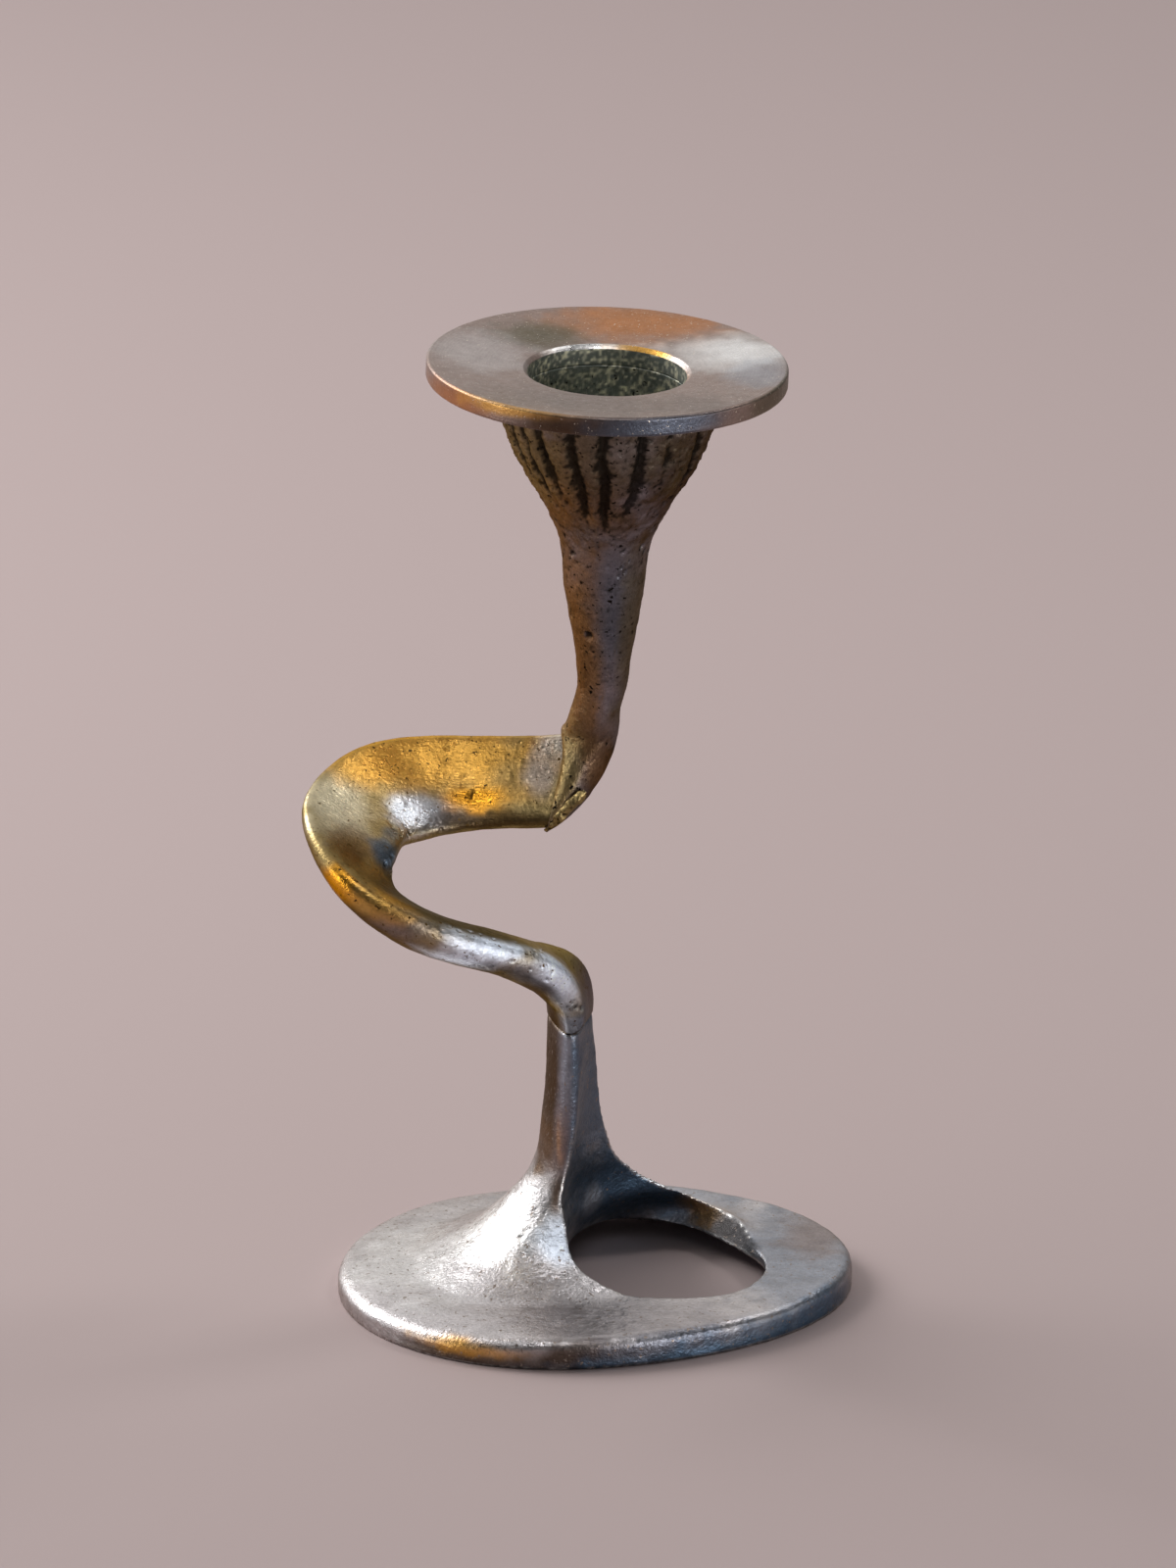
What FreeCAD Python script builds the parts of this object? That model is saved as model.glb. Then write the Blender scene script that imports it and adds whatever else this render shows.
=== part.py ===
import FreeCAD, Part
import Sketcher
import math
import os

# A spiral candle holder of cast bronze.
# An oval base with an eye-shaped opening is drawn up into a post. On the post stands a ribbon arm
# that loops once round to the left and comes back at the rear, where a stem leads from its knee up
# to a trumpet. A turned drip pan with the candle's bore closes the trumpet's mouth.
# Lengths are in millimetres, angles in degrees. X runs to the right, Y to the rear and Z up.
# The origin lies near the middle of the base, on the plane that it stands on.

SIZES = (
    ("base_width", 76.8),
    ("base_thick", 4.7),
    ("base_edge_round", 1.7),
    ("rim_wall", 5.0),
    ("recess_height", 2.8),
    ("eye_width", 28.6),
    ("foot_spread", 30.0),
    ("post_left", 3.6),
    ("post_back", 1.8),
    ("post_depth", 12.6),
    ("post_thick", 5.6),
    ("joint_height", 42.5),
    ("arm_reach", 38.0),
    ("loop_depth", 26.0),
    ("arm_height", 76.0),
    ("ribbon_width", 15.4),
    ("ribbon_thick", 5.6),
    ("knee_lean_angle", 10.5),
    ("knee_turn_angle", 7.6),
    ("stem_width", 7.6),
    ("head_shift", 1.8),
    ("head_height", 142.5),
    ("head_tilt_angle", 2.0),
    ("trumpet_length", 27.0),
    ("trumpet_wall", 3.6),
    ("socket_radius", 11.65),
    ("socket_depth", 11.0),
    ("socket_lip", 0.6),
    ("taper_depth", 7.0),
    ("taper_floor_radius", 6.8),
    ("register_wall", 2.35),
    ("register_depth", 1.4),
    ("register_clearance", 0.1),
    ("pan_radius", 26.5),
    ("pan_thick", 3.0),
    ("pan_dish", 1.3),
    ("pan_edge", 0.4),
    ("dowel_radius", 1.0),
    ("dowel_length", 5.0),
    ("dowel_clearance", 0.05),
    ("bead_radius", 1.0),
    ("overrun", 2.0),
)

# Shares that shape the post's wedge: how much it narrows to the front, how far its faces are
# hollowed and how square it is.
POST_TAPER_SHARE = 0.5
POST_CAMBER_SHARE = 0.02
POST_POWER_SHARE = 0.6

# Base: shares of its width: middle of the oval to the right and rear, the bearing of its first side
# in degrees, then reach to the right, rear, left and front.
BASE_SHARES = (-0.072, 0.006, 8.6, 0.575, 0.453, 0.424, 0.427)

# Foot: level rings from the plate up to the post. Each row: height as shares of the plate's thickness
# and of the climb from it to the joint, how far the ring has left the post's own outline, the
# bearing of its longest reach in degrees, then shares of the foot's spread for its reach to the
# rear right, rear left, front left and front right.
FOOT_SHARES = (
    (0.86, 0.000, 1.0, 30, 1.04, 0.86, 0.90, 0.62),
    (1.00, 0.044, 1.0, 32, 0.93, 0.66, 0.66, 0.47),
    (1.00, 0.101, 1.0, 36, 0.82, 0.53, 0.50, 0.37),
    (1.00, 0.157, 1.0, 42, 0.70, 0.45, 0.41, 0.30),
    (1.00, 0.224, 1.0, 50, 0.60, 0.36, 0.32, 0.24),
    (1.00, 0.303, 1.0, 57, 0.50, 0.27, 0.24, 0.19),
    (1.00, 0.404, 0.8, 58, 0.46, 0.21, 0.18, 0.17),
    (1.00, 0.539, 0.5, 58, 0.44, 0.19, 0.17, 0.15),
    (1.00, 0.696, 0.3, 58, 0.38, 0.17, 0.16, 0.14),
    (1.00, 0.854, 0.1, 58, 0.29, 0.16, 0.15, 0.14),
    (1.00, 1.000, 0.0, 58, 0.27, 0.16, 0.15, 0.14),
)

# Scoop: the smooth hollow that opens the eye and hollows the right side of the foot and post. Each
# row: height as in the foot's rows, the bearing of its first side in degrees, then shares of the
# eye's width: middle to the right and rear, and reach to the right, rear, left and front.
SCOOP_SHARES = (
    (-0.27, 0.000, 22, 0.468, -0.048, 0.421, 0.902, 0.548, 0.452),
    (0.680, 0.000, 22, 0.468, -0.048, 0.421, 0.902, 0.548, 0.452),
    (1.000, 0.011, 12, 0.435, 0.030, 0.455, 0.765, 0.600, 0.540),
    (1.000, 0.089, -10, 0.370, 0.090, 0.640, 0.580, 0.520, 0.740),
    (1.000, 0.196, -18, 0.265, 0.090, 0.640, 0.520, 0.420, 0.590),
    (1.000, 0.303, -24, 0.180, 0.070, 0.640, 0.520, 0.310, 0.490),
    (1.000, 0.483, -22, 0.215, 0.035, 0.640, 0.590, 0.300, 0.480),
    (1.000, 0.775, -15, 0.290, -0.020, 0.640, 0.800, 0.343, 0.660),
    (1.000, 1.090, -12, 0.355, -0.020, 0.640, 0.900, 0.343, 0.760),
)

# Arm: a ribbon from the top of the post through the elbow and the loop to the knee and just past
# it. Each row: place as shares of the arm's reach to the left, of the loop's depth to the rear and
# of the rise from the post's joint, the bearing and lift of the ribbon's outer edge in degrees,
# then shares: width, thickness, thinning to the outer edge, hollow and squareness.
ARM_SHARES = (
    (-0.112, -0.010, 0.155, -90, 0, 0.82, 1.15, 0.28, 0.03, 0.62),
    (-0.215, -0.160, 0.300, -70, 2, 0.82, 1.16, 0.10, 0.02, 0.72),
    (-0.370, -0.330, 0.425, -66, 6, 0.82, 1.12, 0.02, 0.02, 0.78),
    (-0.560, -0.460, 0.523, -76, 10, 0.82, 1.14, 0.02, 0.03, 0.80),
    (-0.755, -0.500, 0.640, -96, 15, 0.86, 1.12, 0.04, 0.05, 0.80),
    (-0.895, -0.420, 0.762, -128, 22, 0.94, 1.02, 0.08, 0.07, 0.80),
    (-0.955, -0.200, 0.875, -168, 28, 1.00, 0.94, 0.12, 0.08, 0.80),
    (-0.920, 0.110, 0.943, -202, 35, 1.06, 0.88, 0.16, 0.09, 0.80),
    (-0.815, 0.340, 0.966, -232, 43, 1.10, 0.86, 0.18, 0.10, 0.80),
    (-0.640, 0.470, 0.976, -256, 49, 1.03, 0.84, 0.18, 0.10, 0.80),
    (-0.410, 0.510, 0.982, -270, 52, 0.94, 0.82, 0.16, 0.09, 0.80),
    (-0.137, 0.481, 1.000, -276, 52, 0.94, 0.86, 0.12, 0.07, 0.80),
    (0.020, 0.455, 1.025, -280, 50, 0.94, 0.88, 0.10, 0.05, 0.80),
)
KNEE_ROW = -2

# Heel: rings that fan round the inner corner of the knee. Each row: place from the knee as shares of
# the ribbon's width to the right, rear and up, the tip of the path from upright and the bearing of
# that tip, the lift of the ring's long side, then shares: width, thickness and squareness.
HEEL_SHARES = (
    (0.000, 0.000, 0.000, 100.5, -7.6, 52, 1.02, 0.90, 0.80),
    (0.100, -0.020, 0.105, 78, -15, 42, 0.86, 0.92, 0.80),
    (0.175, -0.020, 0.220, 58, -18, 38, 0.72, 0.94, 0.80),
    (0.228, -0.010, 0.325, 42, -20, 40, 0.62, 0.96, 0.82),
    (0.275, 0.000, 0.430, 27, -25, 47, 0.55, 0.98, 0.84),
    (0.312, -0.010, 0.540, 16, -45, 56, 0.51, 1.00, 0.88),
    (0.355, -0.085, 0.785, 15, -68, 60, 0.47, 0.96, 0.98),
)

# Stem: round rings from the heel to the trumpet. Each row: shares of the climb between them, of the
# way from the knee to the head, to the right and to the front, and of the mouth's radius.
STEM_SHARES = (
    (0.139, 0.90, 0.190, 0.211),
    (0.265, 0.93, 0.296, 0.224),
    (0.515, 0.94, 0.472, 0.273),
    (0.763, 0.94, 0.640, 0.338),
)

# Trumpet: round rings down to its mouth. Each row: share of its length above the ring, then as in
# the stem's rows.
TRUMPET_SHARES = (
    (0.981, 0.96, 0.792, 0.376),
    (0.848, 0.985, 0.856, 0.426),
    (0.741, 1.00, 0.920, 0.500),
    (0.626, 1.01, 0.960, 0.594),
    (0.515, 1.01, 0.984, 0.696),
    (0.400, 1.01, 0.994, 0.793),
    (0.256, 1.01, 1.000, 0.875),
    (0.130, 1.00, 1.000, 0.943),
    (0.000, 1.00, 1.000, 1.000),
)

# Bead: the ridge of braze under the knee. Each row: place from the knee as shares of the ribbon's
# width to the right, rear and up, and radius as a share of the bead's.
BEAD_SHARES = (
    (0.258, -0.380, 0.054, 0.50),
    (0.201, -0.380, -0.006, 0.95),
    (0.136, -0.380, -0.076, 1.10),
    (0.070, -0.374, -0.148, 1.00),
    (-0.015, -0.355, -0.245, 0.95),
    (-0.100, -0.330, -0.345, 0.75),
    (-0.137, -0.306, -0.395, 0.45),
)

# Points in each ring, the bearing of the rear, and the tip of a level direction from upright.
RING_COUNT = 16
REAR = 90
LEVEL = 90

doc = FreeCAD.newDocument("spiral_candle_holder")
sheet = doc.addObject("Spreadsheet::Sheet", "Sizes")
for number, (word, value) in enumerate(SIZES, start=1):
    sheet.set(f"A{number}", word)
    sheet.set(f"B{number}", str(value))
    sheet.setAlias(f"B{number}", word)
doc.recompute()


def size(word):
    """One driving dimension, read from the sheet."""
    return float(sheet.get(word))


def vector(x, y, z):
    return FreeCAD.Vector(x, y, z)


def ringed(points):
    """A smooth closed curve through the points, at even steps."""
    curve = Part.BSplineCurve()
    steps = [float(k) for k in range(len(points) + 1)]
    curve.interpolate(Points=points, PeriodicFlag=True, Parameters=steps)
    return curve


def middle_of(points):
    total = vector(0, 0, 0)
    for point in points:
        total += point
    return total * (1 / len(points))


def skin(rings):
    """A smooth solid through closed rings of points, with flat ends.

    Each ring becomes a periodic cubic curve, and each of its poles is then carried smoothly from
    ring to ring, at steps as long as the way between the rings' middles.
    """
    curves = [ringed(points) for points in rings]
    middles = [middle_of(points) for points in rings]
    steps = [0.0]
    for before, after in zip(middles, middles[1:]):
        steps.append(steps[-1] + (after - before).Length)
    lines = []
    for poles in zip(*[curve.getPoles() for curve in curves]):
        line = Part.BSplineCurve()
        line.interpolate(Points=list(poles), Parameters=steps)
        lines.append(line)
    around = curves[0]
    along = lines[0]
    surface = Part.BSplineSurface()
    surface.buildFromPolesMultsKnots(
        [line.getPoles() for line in lines],
        around.getMultiplicities(),
        along.getMultiplicities(),
        around.getKnots(),
        along.getKnots(),
        True,
        False,
        around.Degree,
        along.Degree,
    )
    side = surface.toShape()
    ends = [Part.Face(Part.Wire([edge])) for edge in side.Edges if edge.isClosed()]
    closed = Part.Compound([side] + ends)
    closed.sewShape()
    return Part.Solid(closed.Shells[0])


def signed_power(value, power_share):
    return math.copysign(abs(value) ** power_share, value)


def section(centre, along, edge, width, thick, taper_share=0, camber=0, power_share=1):
    """Closed points of a bar across its path.

    The width lies along edge and the thickness across it. The bar gets thinner towards edge by
    taper_share, and both its rims bend to the hollow side by camber.
    """
    side = along.cross(edge)
    points = []
    for k in range(RING_COUNT):
        angle = 2 * math.pi * k / RING_COUNT
        u = signed_power(math.cos(angle), power_share)
        v = signed_power(math.sin(angle), power_share)
        rise = thick / 2 * v * (1 - taper_share * u) + camber * (u * u - 1 / 2)
        points.append(centre + edge * (width / 2 * u) + side * rise)
    return points


def oval(height, centre_x, centre_y, bearing, reaches):
    """A level ring with its own reach to each of four sides, the first of them at the bearing.

    The points stand at even angles about the centre and start at the front, as the post's do.
    """
    points = []
    for k in range(RING_COUNT):
        angle = 2 * math.pi * k / RING_COUNT - math.pi / 2
        c = math.cos(angle - math.radians(bearing))
        s = math.sin(angle - math.radians(bearing))
        reach_c = reaches[0] if c > 0 else reaches[2]
        reach_s = reaches[1] if s > 0 else reaches[3]
        reach = 1 / math.hypot(c / reach_c, s / reach_s)
        out = vector(math.cos(angle), math.sin(angle), 0)
        points.append(vector(centre_x, centre_y, height) + out * reach)
    return points


def tipped(tip, bearing):
    """The upright direction, tipped from level towards a bearing."""
    t = math.radians(tip)
    b = math.radians(bearing)
    return vector(math.sin(t) * math.cos(b), math.sin(t) * math.sin(b), math.cos(t))


def edge_direction(along, bearing, lift):
    """A direction square to the path, at a bearing and lifted out of the level."""
    level = tipped(LEVEL, bearing)
    level = (level - along * level.dot(along)).normalize()
    up = along.cross(level)
    rise = math.radians(lift)
    return level * math.cos(rise) + up * math.sin(rise)


def path_directions(centres):
    """The direction of the path at each centre, from its neighbours."""
    last = len(centres) - 1
    steps = [centres[min(k + 1, last)] - centres[max(k - 1, 0)] for k in range(len(centres))]
    return [step.normalize() for step in steps]


def post_place():
    """The middle of the post where the arm stands on it."""
    return vector(-size("post_left"), size("post_back"), size("joint_height"))


def knee_place():
    """The middle of the ground joint between arm and stem."""
    return arm_place(ARM_SHARES[KNEE_ROW])


def knee_normal():
    """The direction square to that joint, pointing into the stem."""
    return tipped(LEVEL + size("knee_lean_angle"), -size("knee_turn_angle"))


def arm_place(row):
    rise = size("arm_height") - size("joint_height")
    return vector(
        size("arm_reach") * row[0],
        size("loop_depth") * row[1],
        size("joint_height") + rise * row[2],
    )


def mouth_radius():
    """The trumpet's outer radius under the drip pan."""
    return size("socket_radius") + size("register_wall") + size("trumpet_wall")


def feature(name, shape):
    """A document object that holds a shape worked out here."""
    made = doc.addObject("Part::Feature", name)
    made.Shape = shape
    made.Label = name
    made.Placement = shape.Placement
    return made


def boolean(kind, name, base, tool):
    """A Part::Cut or Part::Fuse of two document objects."""
    made = doc.addObject(kind, name)
    made.Base = base
    made.Tool = tool
    made.Label = name
    return made


def turned_body(name, outline):
    """A revolved body. Each corner of its outline is a radius and a height, as the sheet's sums."""
    body = doc.addObject("PartDesign::Body", name)
    body.Label = name
    plane = [f for f in body.Origin.OriginFeatures if f.Role == "XZ_Plane"][0]
    sketch = body.newObject("Sketcher::SketchObject", name + "_outline")
    sketch.AttachmentSupport = [(plane, "")]
    sketch.MapMode = "FlatFace"
    corners = []
    for radius, height in outline:
        corners.append(vector(sketch.evalExpression(radius), sketch.evalExpression(height), 0))
    count = len(corners)
    for k in range(count):
        sketch.addGeometry(Part.LineSegment(corners[k], corners[(k + 1) % count]), False)
    for k in range(count):
        sketch.addConstraint(Sketcher.Constraint("Coincident", k, 2, (k + 1) % count, 1))
    for k, (radius, height) in enumerate(outline):
        for kind, text, value in (
            ("DistanceX", radius, corners[k].x),
            ("DistanceY", height, corners[k].y),
        ):
            place = sketch.addConstraint(Sketcher.Constraint(kind, -1, 1, k, 1, value))
            sketch.setExpression(f"Constraints[{place}]", text)
    turn = body.newObject("PartDesign::Revolution", name + "_turn")
    turn.Profile = sketch
    turn.ReferenceAxis = (sketch, ["V_Axis"])
    turn.Angle = 360
    return body


def seat_on_head(piece):
    """Places a turned piece of the head by its own origin, under the drip pan and tilted with it."""
    piece.Placement = FreeCAD.Placement(vector(0, 0, 0), FreeCAD.Rotation(vector(0, 1, 0), 1))
    piece.setExpression("Placement.Base.x", "Sizes.head_shift")
    piece.setExpression("Placement.Base.z", "Sizes.head_height")
    piece.setExpression("Placement.Rotation.Angle", "Sizes.head_tilt_angle")
    return piece


def pin(name, radius, length, place, along):
    """A round pin with its middle at a place, or the hole for it."""
    made = doc.addObject("Part::Cylinder", name)
    made.Label = name
    made.setExpression("Radius", radius)
    made.setExpression("Height", length)
    half = sheet.evalExpression(length) / 2
    made.Placement = FreeCAD.Placement(place - along * half, FreeCAD.Rotation(vector(0, 0, 1), along))
    return made


def base_slab(inset, low, high):
    """The base's oval, drawn in by inset, between two heights."""
    right, rear, bearing, *reach_shares = BASE_SHARES
    reaches = [size("base_width") * share - inset for share in reach_shares]
    outline = oval(low, size("base_width") * right, size("base_width") * rear, bearing, reaches)
    face = Part.Face(Part.Wire([ringed(outline).toShape()]))
    return face.extrude(vector(0, 0, high - low))


def base_plate():
    """The base's slab with its top edge rounded."""
    slab = base_slab(0, 0, size("base_thick"))
    rim = [edge for edge in slab.Edges if edge.BoundBox.ZMin > size("base_thick") / 2]
    return slab.makeFillet(size("base_edge_round"), rim)


def post_outline(height):
    """The post's wedge: narrow at the front and broad at the rear."""
    return section(
        vector(-size("post_left"), size("post_back"), height),
        vector(0, 0, 1),
        vector(0, -1, 0),
        size("post_depth"),
        size("post_thick"),
        POST_TAPER_SHARE,
        size("post_depth") * POST_CAMBER_SHARE,
        POST_POWER_SHARE,
    )


def climbed(plate_share, climb_share):
    """A height, as shares of the plate's thickness and of the climb from it to the post's joint."""
    climb = size("joint_height") - size("base_thick")
    return size("base_thick") * plate_share + climb * climb_share


def foot():
    rings = []
    for plate_share, climb_share, away_share, bearing, *reach_shares in FOOT_SHARES:
        height = climbed(plate_share, climb_share)
        reaches = [size("foot_spread") * share for share in reach_shares]
        wide = oval(height, -size("post_left"), size("post_back"), bearing, reaches)
        slim = post_outline(height)
        rings.append([s * (1 - away_share) + w * away_share for s, w in zip(slim, wide)])
    return skin(rings)


def scoop():
    rings = []
    eye = size("eye_width")
    for plate_share, climb_share, bearing, right, rear, *reach_shares in SCOOP_SHARES:
        height = climbed(plate_share, climb_share)
        reaches = [eye * share for share in reach_shares]
        rings.append(oval(height, eye * right, eye * rear, bearing, reaches))
    return skin(rings)


def arm_bar():
    """The arm, still longer at the knee than it will be."""
    centres = [post_place()] + [arm_place(row) for row in ARM_SHARES]
    rings = [post_outline(size("joint_height"))]
    for row, centre, along in zip(ARM_SHARES, centres[1:], path_directions(centres)[1:]):
        bearing, lift, wide, thick, taper_share, camber_share, power_share = row[3:]
        points = section(
            centre,
            along,
            edge_direction(along, bearing, lift),
            size("ribbon_width") * wide,
            size("ribbon_thick") * thick,
            taper_share,
            size("ribbon_width") * camber_share,
            power_share,
        )
        rings.append(points)
    return skin(rings)


def past_the_knee():
    """A block on the stem's side of the knee's joint, large enough to trim the arm's end."""
    side = 2 * size("ribbon_width")
    block = Part.makeBox(side, side, side, vector(-side / 2, -side / 2, 0))
    block.Placement = FreeCAD.Placement(
        knee_place(), FreeCAD.Rotation(vector(0, 0, 1), knee_normal())
    )
    return block


def stem_bar():
    """The stem and trumpet, still solid, from the knee's joint to the drip pan."""
    knee = knee_place()
    head = vector(size("head_shift"), 0, size("head_height"))
    way = head - knee
    wide = size("ribbon_width")
    rings = []
    for right, rear, up, tip, bearing, lift, width, thick, power_share in HEEL_SHARES:
        along = tipped(tip, bearing)
        rings.append(
            section(
                knee + vector(right, rear, up) * wide,
                along,
                edge_direction(along, REAR, lift),
                wide * width,
                size("stem_width") * thick,
                power_share=power_share,
            )
        )
    heel_climb = wide * up
    stem_climb = way.z - heel_climb - size("trumpet_length")
    rows = [(heel_climb + stem_climb * share, *rest) for share, *rest in STEM_SHARES]
    rows += [(way.z - size("trumpet_length") * share, *rest) for share, *rest in TRUMPET_SHARES]
    for climb, right, front, radius in rows:
        centre = knee + vector(way.x * right, way.y * front, climb)
        along = tipped(size("head_tilt_angle") * front, 0)
        width = 2 * mouth_radius() * radius
        rings.append(section(centre, along, edge_direction(along, REAR, lift), width, width))
    return skin(rings)


def bead_bar():
    """The bead of braze, still whole."""
    knee = knee_place()
    wide = size("ribbon_width")
    centres = [knee + vector(right, rear, up) * wide for right, rear, up, _ in BEAD_SHARES]
    rings = []
    for row, centre, along in zip(BEAD_SHARES, centres, path_directions(centres)):
        width = 2 * size("bead_radius") * row[3]
        rings.append(section(centre, along, edge_direction(along, REAR, 0), width, width))
    return skin(rings)


# Pins and the holes for them. Each one lies square to its joint, half on either side.
PIN = ("Sizes.dowel_radius", "Sizes.dowel_length")
HOLE = (
    "Sizes.dowel_radius + Sizes.dowel_clearance",
    "Sizes.dowel_length + 2 * Sizes.dowel_clearance",
)
elbow_dowel = pin("elbow_dowel", *PIN, post_place(), vector(0, 0, 1))
elbow_hole = pin("elbow_hole", *HOLE, post_place(), vector(0, 0, 1))
knee_dowel = pin("knee_dowel", *PIN, knee_place(), knee_normal())
knee_hole = pin("knee_hole", *HOLE, knee_place(), knee_normal())

# Base casting: plate and foot in one, less the scoop, the hollow underneath and the dowel's hole.
base_blank = boolean(
    "Part::Fuse", "base_blank", feature("plate", base_plate()), feature("foot", foot())
)
base_open = boolean("Part::Cut", "base_open", base_blank, feature("scoop", scoop()))
recess = feature("recess", base_slab(size("rim_wall"), -size("overrun"), size("recess_height")))
base_hollow = boolean("Part::Cut", "base_hollow", base_open, recess)
base_casting = boolean("Part::Cut", "base_casting", base_hollow, elbow_hole)

# Spiral arm: trimmed square to the knee's joint and drilled for both dowels.
arm_blank = feature("arm_blank", arm_bar())
arm_trim = feature("arm_trim", past_the_knee())
arm_faced = boolean("Part::Cut", "arm_faced", arm_blank, arm_trim)
arm_drilled = boolean("Part::Cut", "arm_drilled", arm_faced, elbow_hole)
spiral_arm = boolean("Part::Cut", "spiral_arm", arm_drilled, knee_hole)

# Socket stem: its cup is a straight bore under the drip pan's register, then a taper down to a
# flat floor.
cup = turned_body(
    "cup",
    (
        ("0 mm", "Sizes.overrun"),
        ("Sizes.socket_radius + Sizes.register_wall + Sizes.register_clearance", "Sizes.overrun"),
        (
            "Sizes.socket_radius + Sizes.register_wall + Sizes.register_clearance",
            "-Sizes.register_depth - Sizes.register_clearance",
        ),
        ("Sizes.socket_radius", "-Sizes.register_depth - Sizes.register_clearance"),
        ("Sizes.socket_radius", "-Sizes.socket_depth"),
        ("Sizes.taper_floor_radius", "-Sizes.socket_depth - Sizes.taper_depth"),
        ("0 mm", "-Sizes.socket_depth - Sizes.taper_depth"),
    ),
)
seat_on_head(cup)
stem_cupped = boolean("Part::Cut", "stem_cupped", feature("stem_blank", stem_bar()), cup)
socket_stem = boolean("Part::Cut", "socket_stem", stem_cupped, knee_hole)

# Drip pan: a turned disc with the candle's bore, dished towards it, and a collar underneath that
# drops into the trumpet.
drip_pan = turned_body(
    "drip_pan",
    (
        ("Sizes.socket_radius", "-Sizes.register_depth"),
        ("Sizes.socket_radius + Sizes.register_wall", "-Sizes.register_depth"),
        ("Sizes.socket_radius + Sizes.register_wall", "0 mm"),
        ("Sizes.pan_radius - Sizes.pan_edge", "0 mm"),
        ("Sizes.pan_radius", "Sizes.pan_edge"),
        ("Sizes.pan_radius", "Sizes.pan_thick - Sizes.pan_edge"),
        ("Sizes.pan_radius - Sizes.pan_edge", "Sizes.pan_thick"),
        ("Sizes.socket_radius + Sizes.socket_lip", "Sizes.pan_thick - Sizes.pan_dish"),
        ("Sizes.socket_radius", "Sizes.pan_thick - Sizes.pan_dish - Sizes.socket_lip"),
    ),
)
seat_on_head(drip_pan)

# Braze: the bead under the knee, hollowed to lie on the arm and the stem.
bead_on_arm = boolean("Part::Cut", "bead_on_arm", feature("bead_blank", bead_bar()), spiral_arm)
knee_braze = boolean("Part::Cut", "knee_braze", bead_on_arm, socket_stem)

doc.recompute()

os.makedirs("parts", exist_ok=True)
for made in doc.Objects:
    if "Invalid" in made.State or "Error" in made.State:
        raise RuntimeError(f"{made.Label} did not build")
for piece in (
    base_casting,
    spiral_arm,
    socket_stem,
    drip_pan,
    elbow_dowel,
    knee_dowel,
    knee_braze,
):
    if piece.Shape.isNull() or not piece.Shape.isValid():
        raise RuntimeError(f"{piece.Label} has no valid shape")
    print(piece.Label, len(piece.Shape.Solids), round(piece.Shape.Volume), piece.Shape.BoundBox)
    piece.Shape.exportStep(f"parts/{piece.Label}.step")
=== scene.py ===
import bpy
import numpy as np
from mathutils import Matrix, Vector


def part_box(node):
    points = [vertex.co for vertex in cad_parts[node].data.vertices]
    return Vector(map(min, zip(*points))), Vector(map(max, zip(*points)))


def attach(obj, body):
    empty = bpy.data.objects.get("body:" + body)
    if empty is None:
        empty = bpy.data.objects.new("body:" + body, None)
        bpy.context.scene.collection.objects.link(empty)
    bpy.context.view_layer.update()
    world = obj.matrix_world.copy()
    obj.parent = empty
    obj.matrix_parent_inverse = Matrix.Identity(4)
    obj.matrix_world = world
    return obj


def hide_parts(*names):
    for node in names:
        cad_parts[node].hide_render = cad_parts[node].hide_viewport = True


# A candle holder of cast bronze: base, ribbon arm, stem with trumpet, turned drip pan and braze.
# Shapes are worked out in millimetres and go into the meshes in metres.

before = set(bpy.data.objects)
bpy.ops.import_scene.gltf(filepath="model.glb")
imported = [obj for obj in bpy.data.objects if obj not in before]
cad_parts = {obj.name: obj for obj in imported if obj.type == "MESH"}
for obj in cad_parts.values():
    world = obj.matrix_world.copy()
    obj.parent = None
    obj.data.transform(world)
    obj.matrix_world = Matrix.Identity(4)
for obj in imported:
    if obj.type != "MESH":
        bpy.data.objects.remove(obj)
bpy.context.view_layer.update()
print("frame loaded:", sorted(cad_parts))

millimetre = 0.001
ringCount = 16  # points round each ring, as in the solids


def linearColour(hexText):
    # sRGB to linear: c / 12.92 up to 0.04045, above it ((c + 0.055) / 1.055) to the power 2.4
    c = np.array([int(hexText[k:k + 2], 16) for k in (1, 3, 5)]) / 255
    return np.where(c <= 0.04045, c / 12.92, ((c + 0.055) / 1.055) ** 2.4)


def opaque(hexText):
    return (*linearColour(hexText), 1)


def linked(made):
    bpy.context.scene.collection.objects.link(made)
    return made


def unit(vectors):
    return vectors / np.linalg.norm(vectors, axis=-1, keepdims=True)


def tipped(tip, bearing):
    # the upright direction, tipped from level towards a bearing, both in degrees
    t, b = np.radians(tip), np.radians(bearing)
    return np.stack([np.sin(t) * np.cos(b), np.sin(t) * np.sin(b), np.cos(t)], axis=-1)


def edgeDirection(along, bearing, lift):
    # the level direction at the bearing, made square to the path and lifted out of the level
    bearing, lift = (np.broadcast_to(value, len(along)) for value in (bearing, lift))
    level = tipped(np.full(len(along), 90.0), bearing)
    level = unit(level - along * np.sum(level * along, axis=-1, keepdims=True))
    rise = np.radians(lift)[:, None]
    return level * np.cos(rise) + np.cross(along, level) * np.sin(rise)


def pathDirections(centres):
    # at each centre the direction from the one before to the one after
    wide = np.concatenate([centres[:1], centres, centres[-1:]])
    return unit(wide[2:] - wide[:-2])


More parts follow.
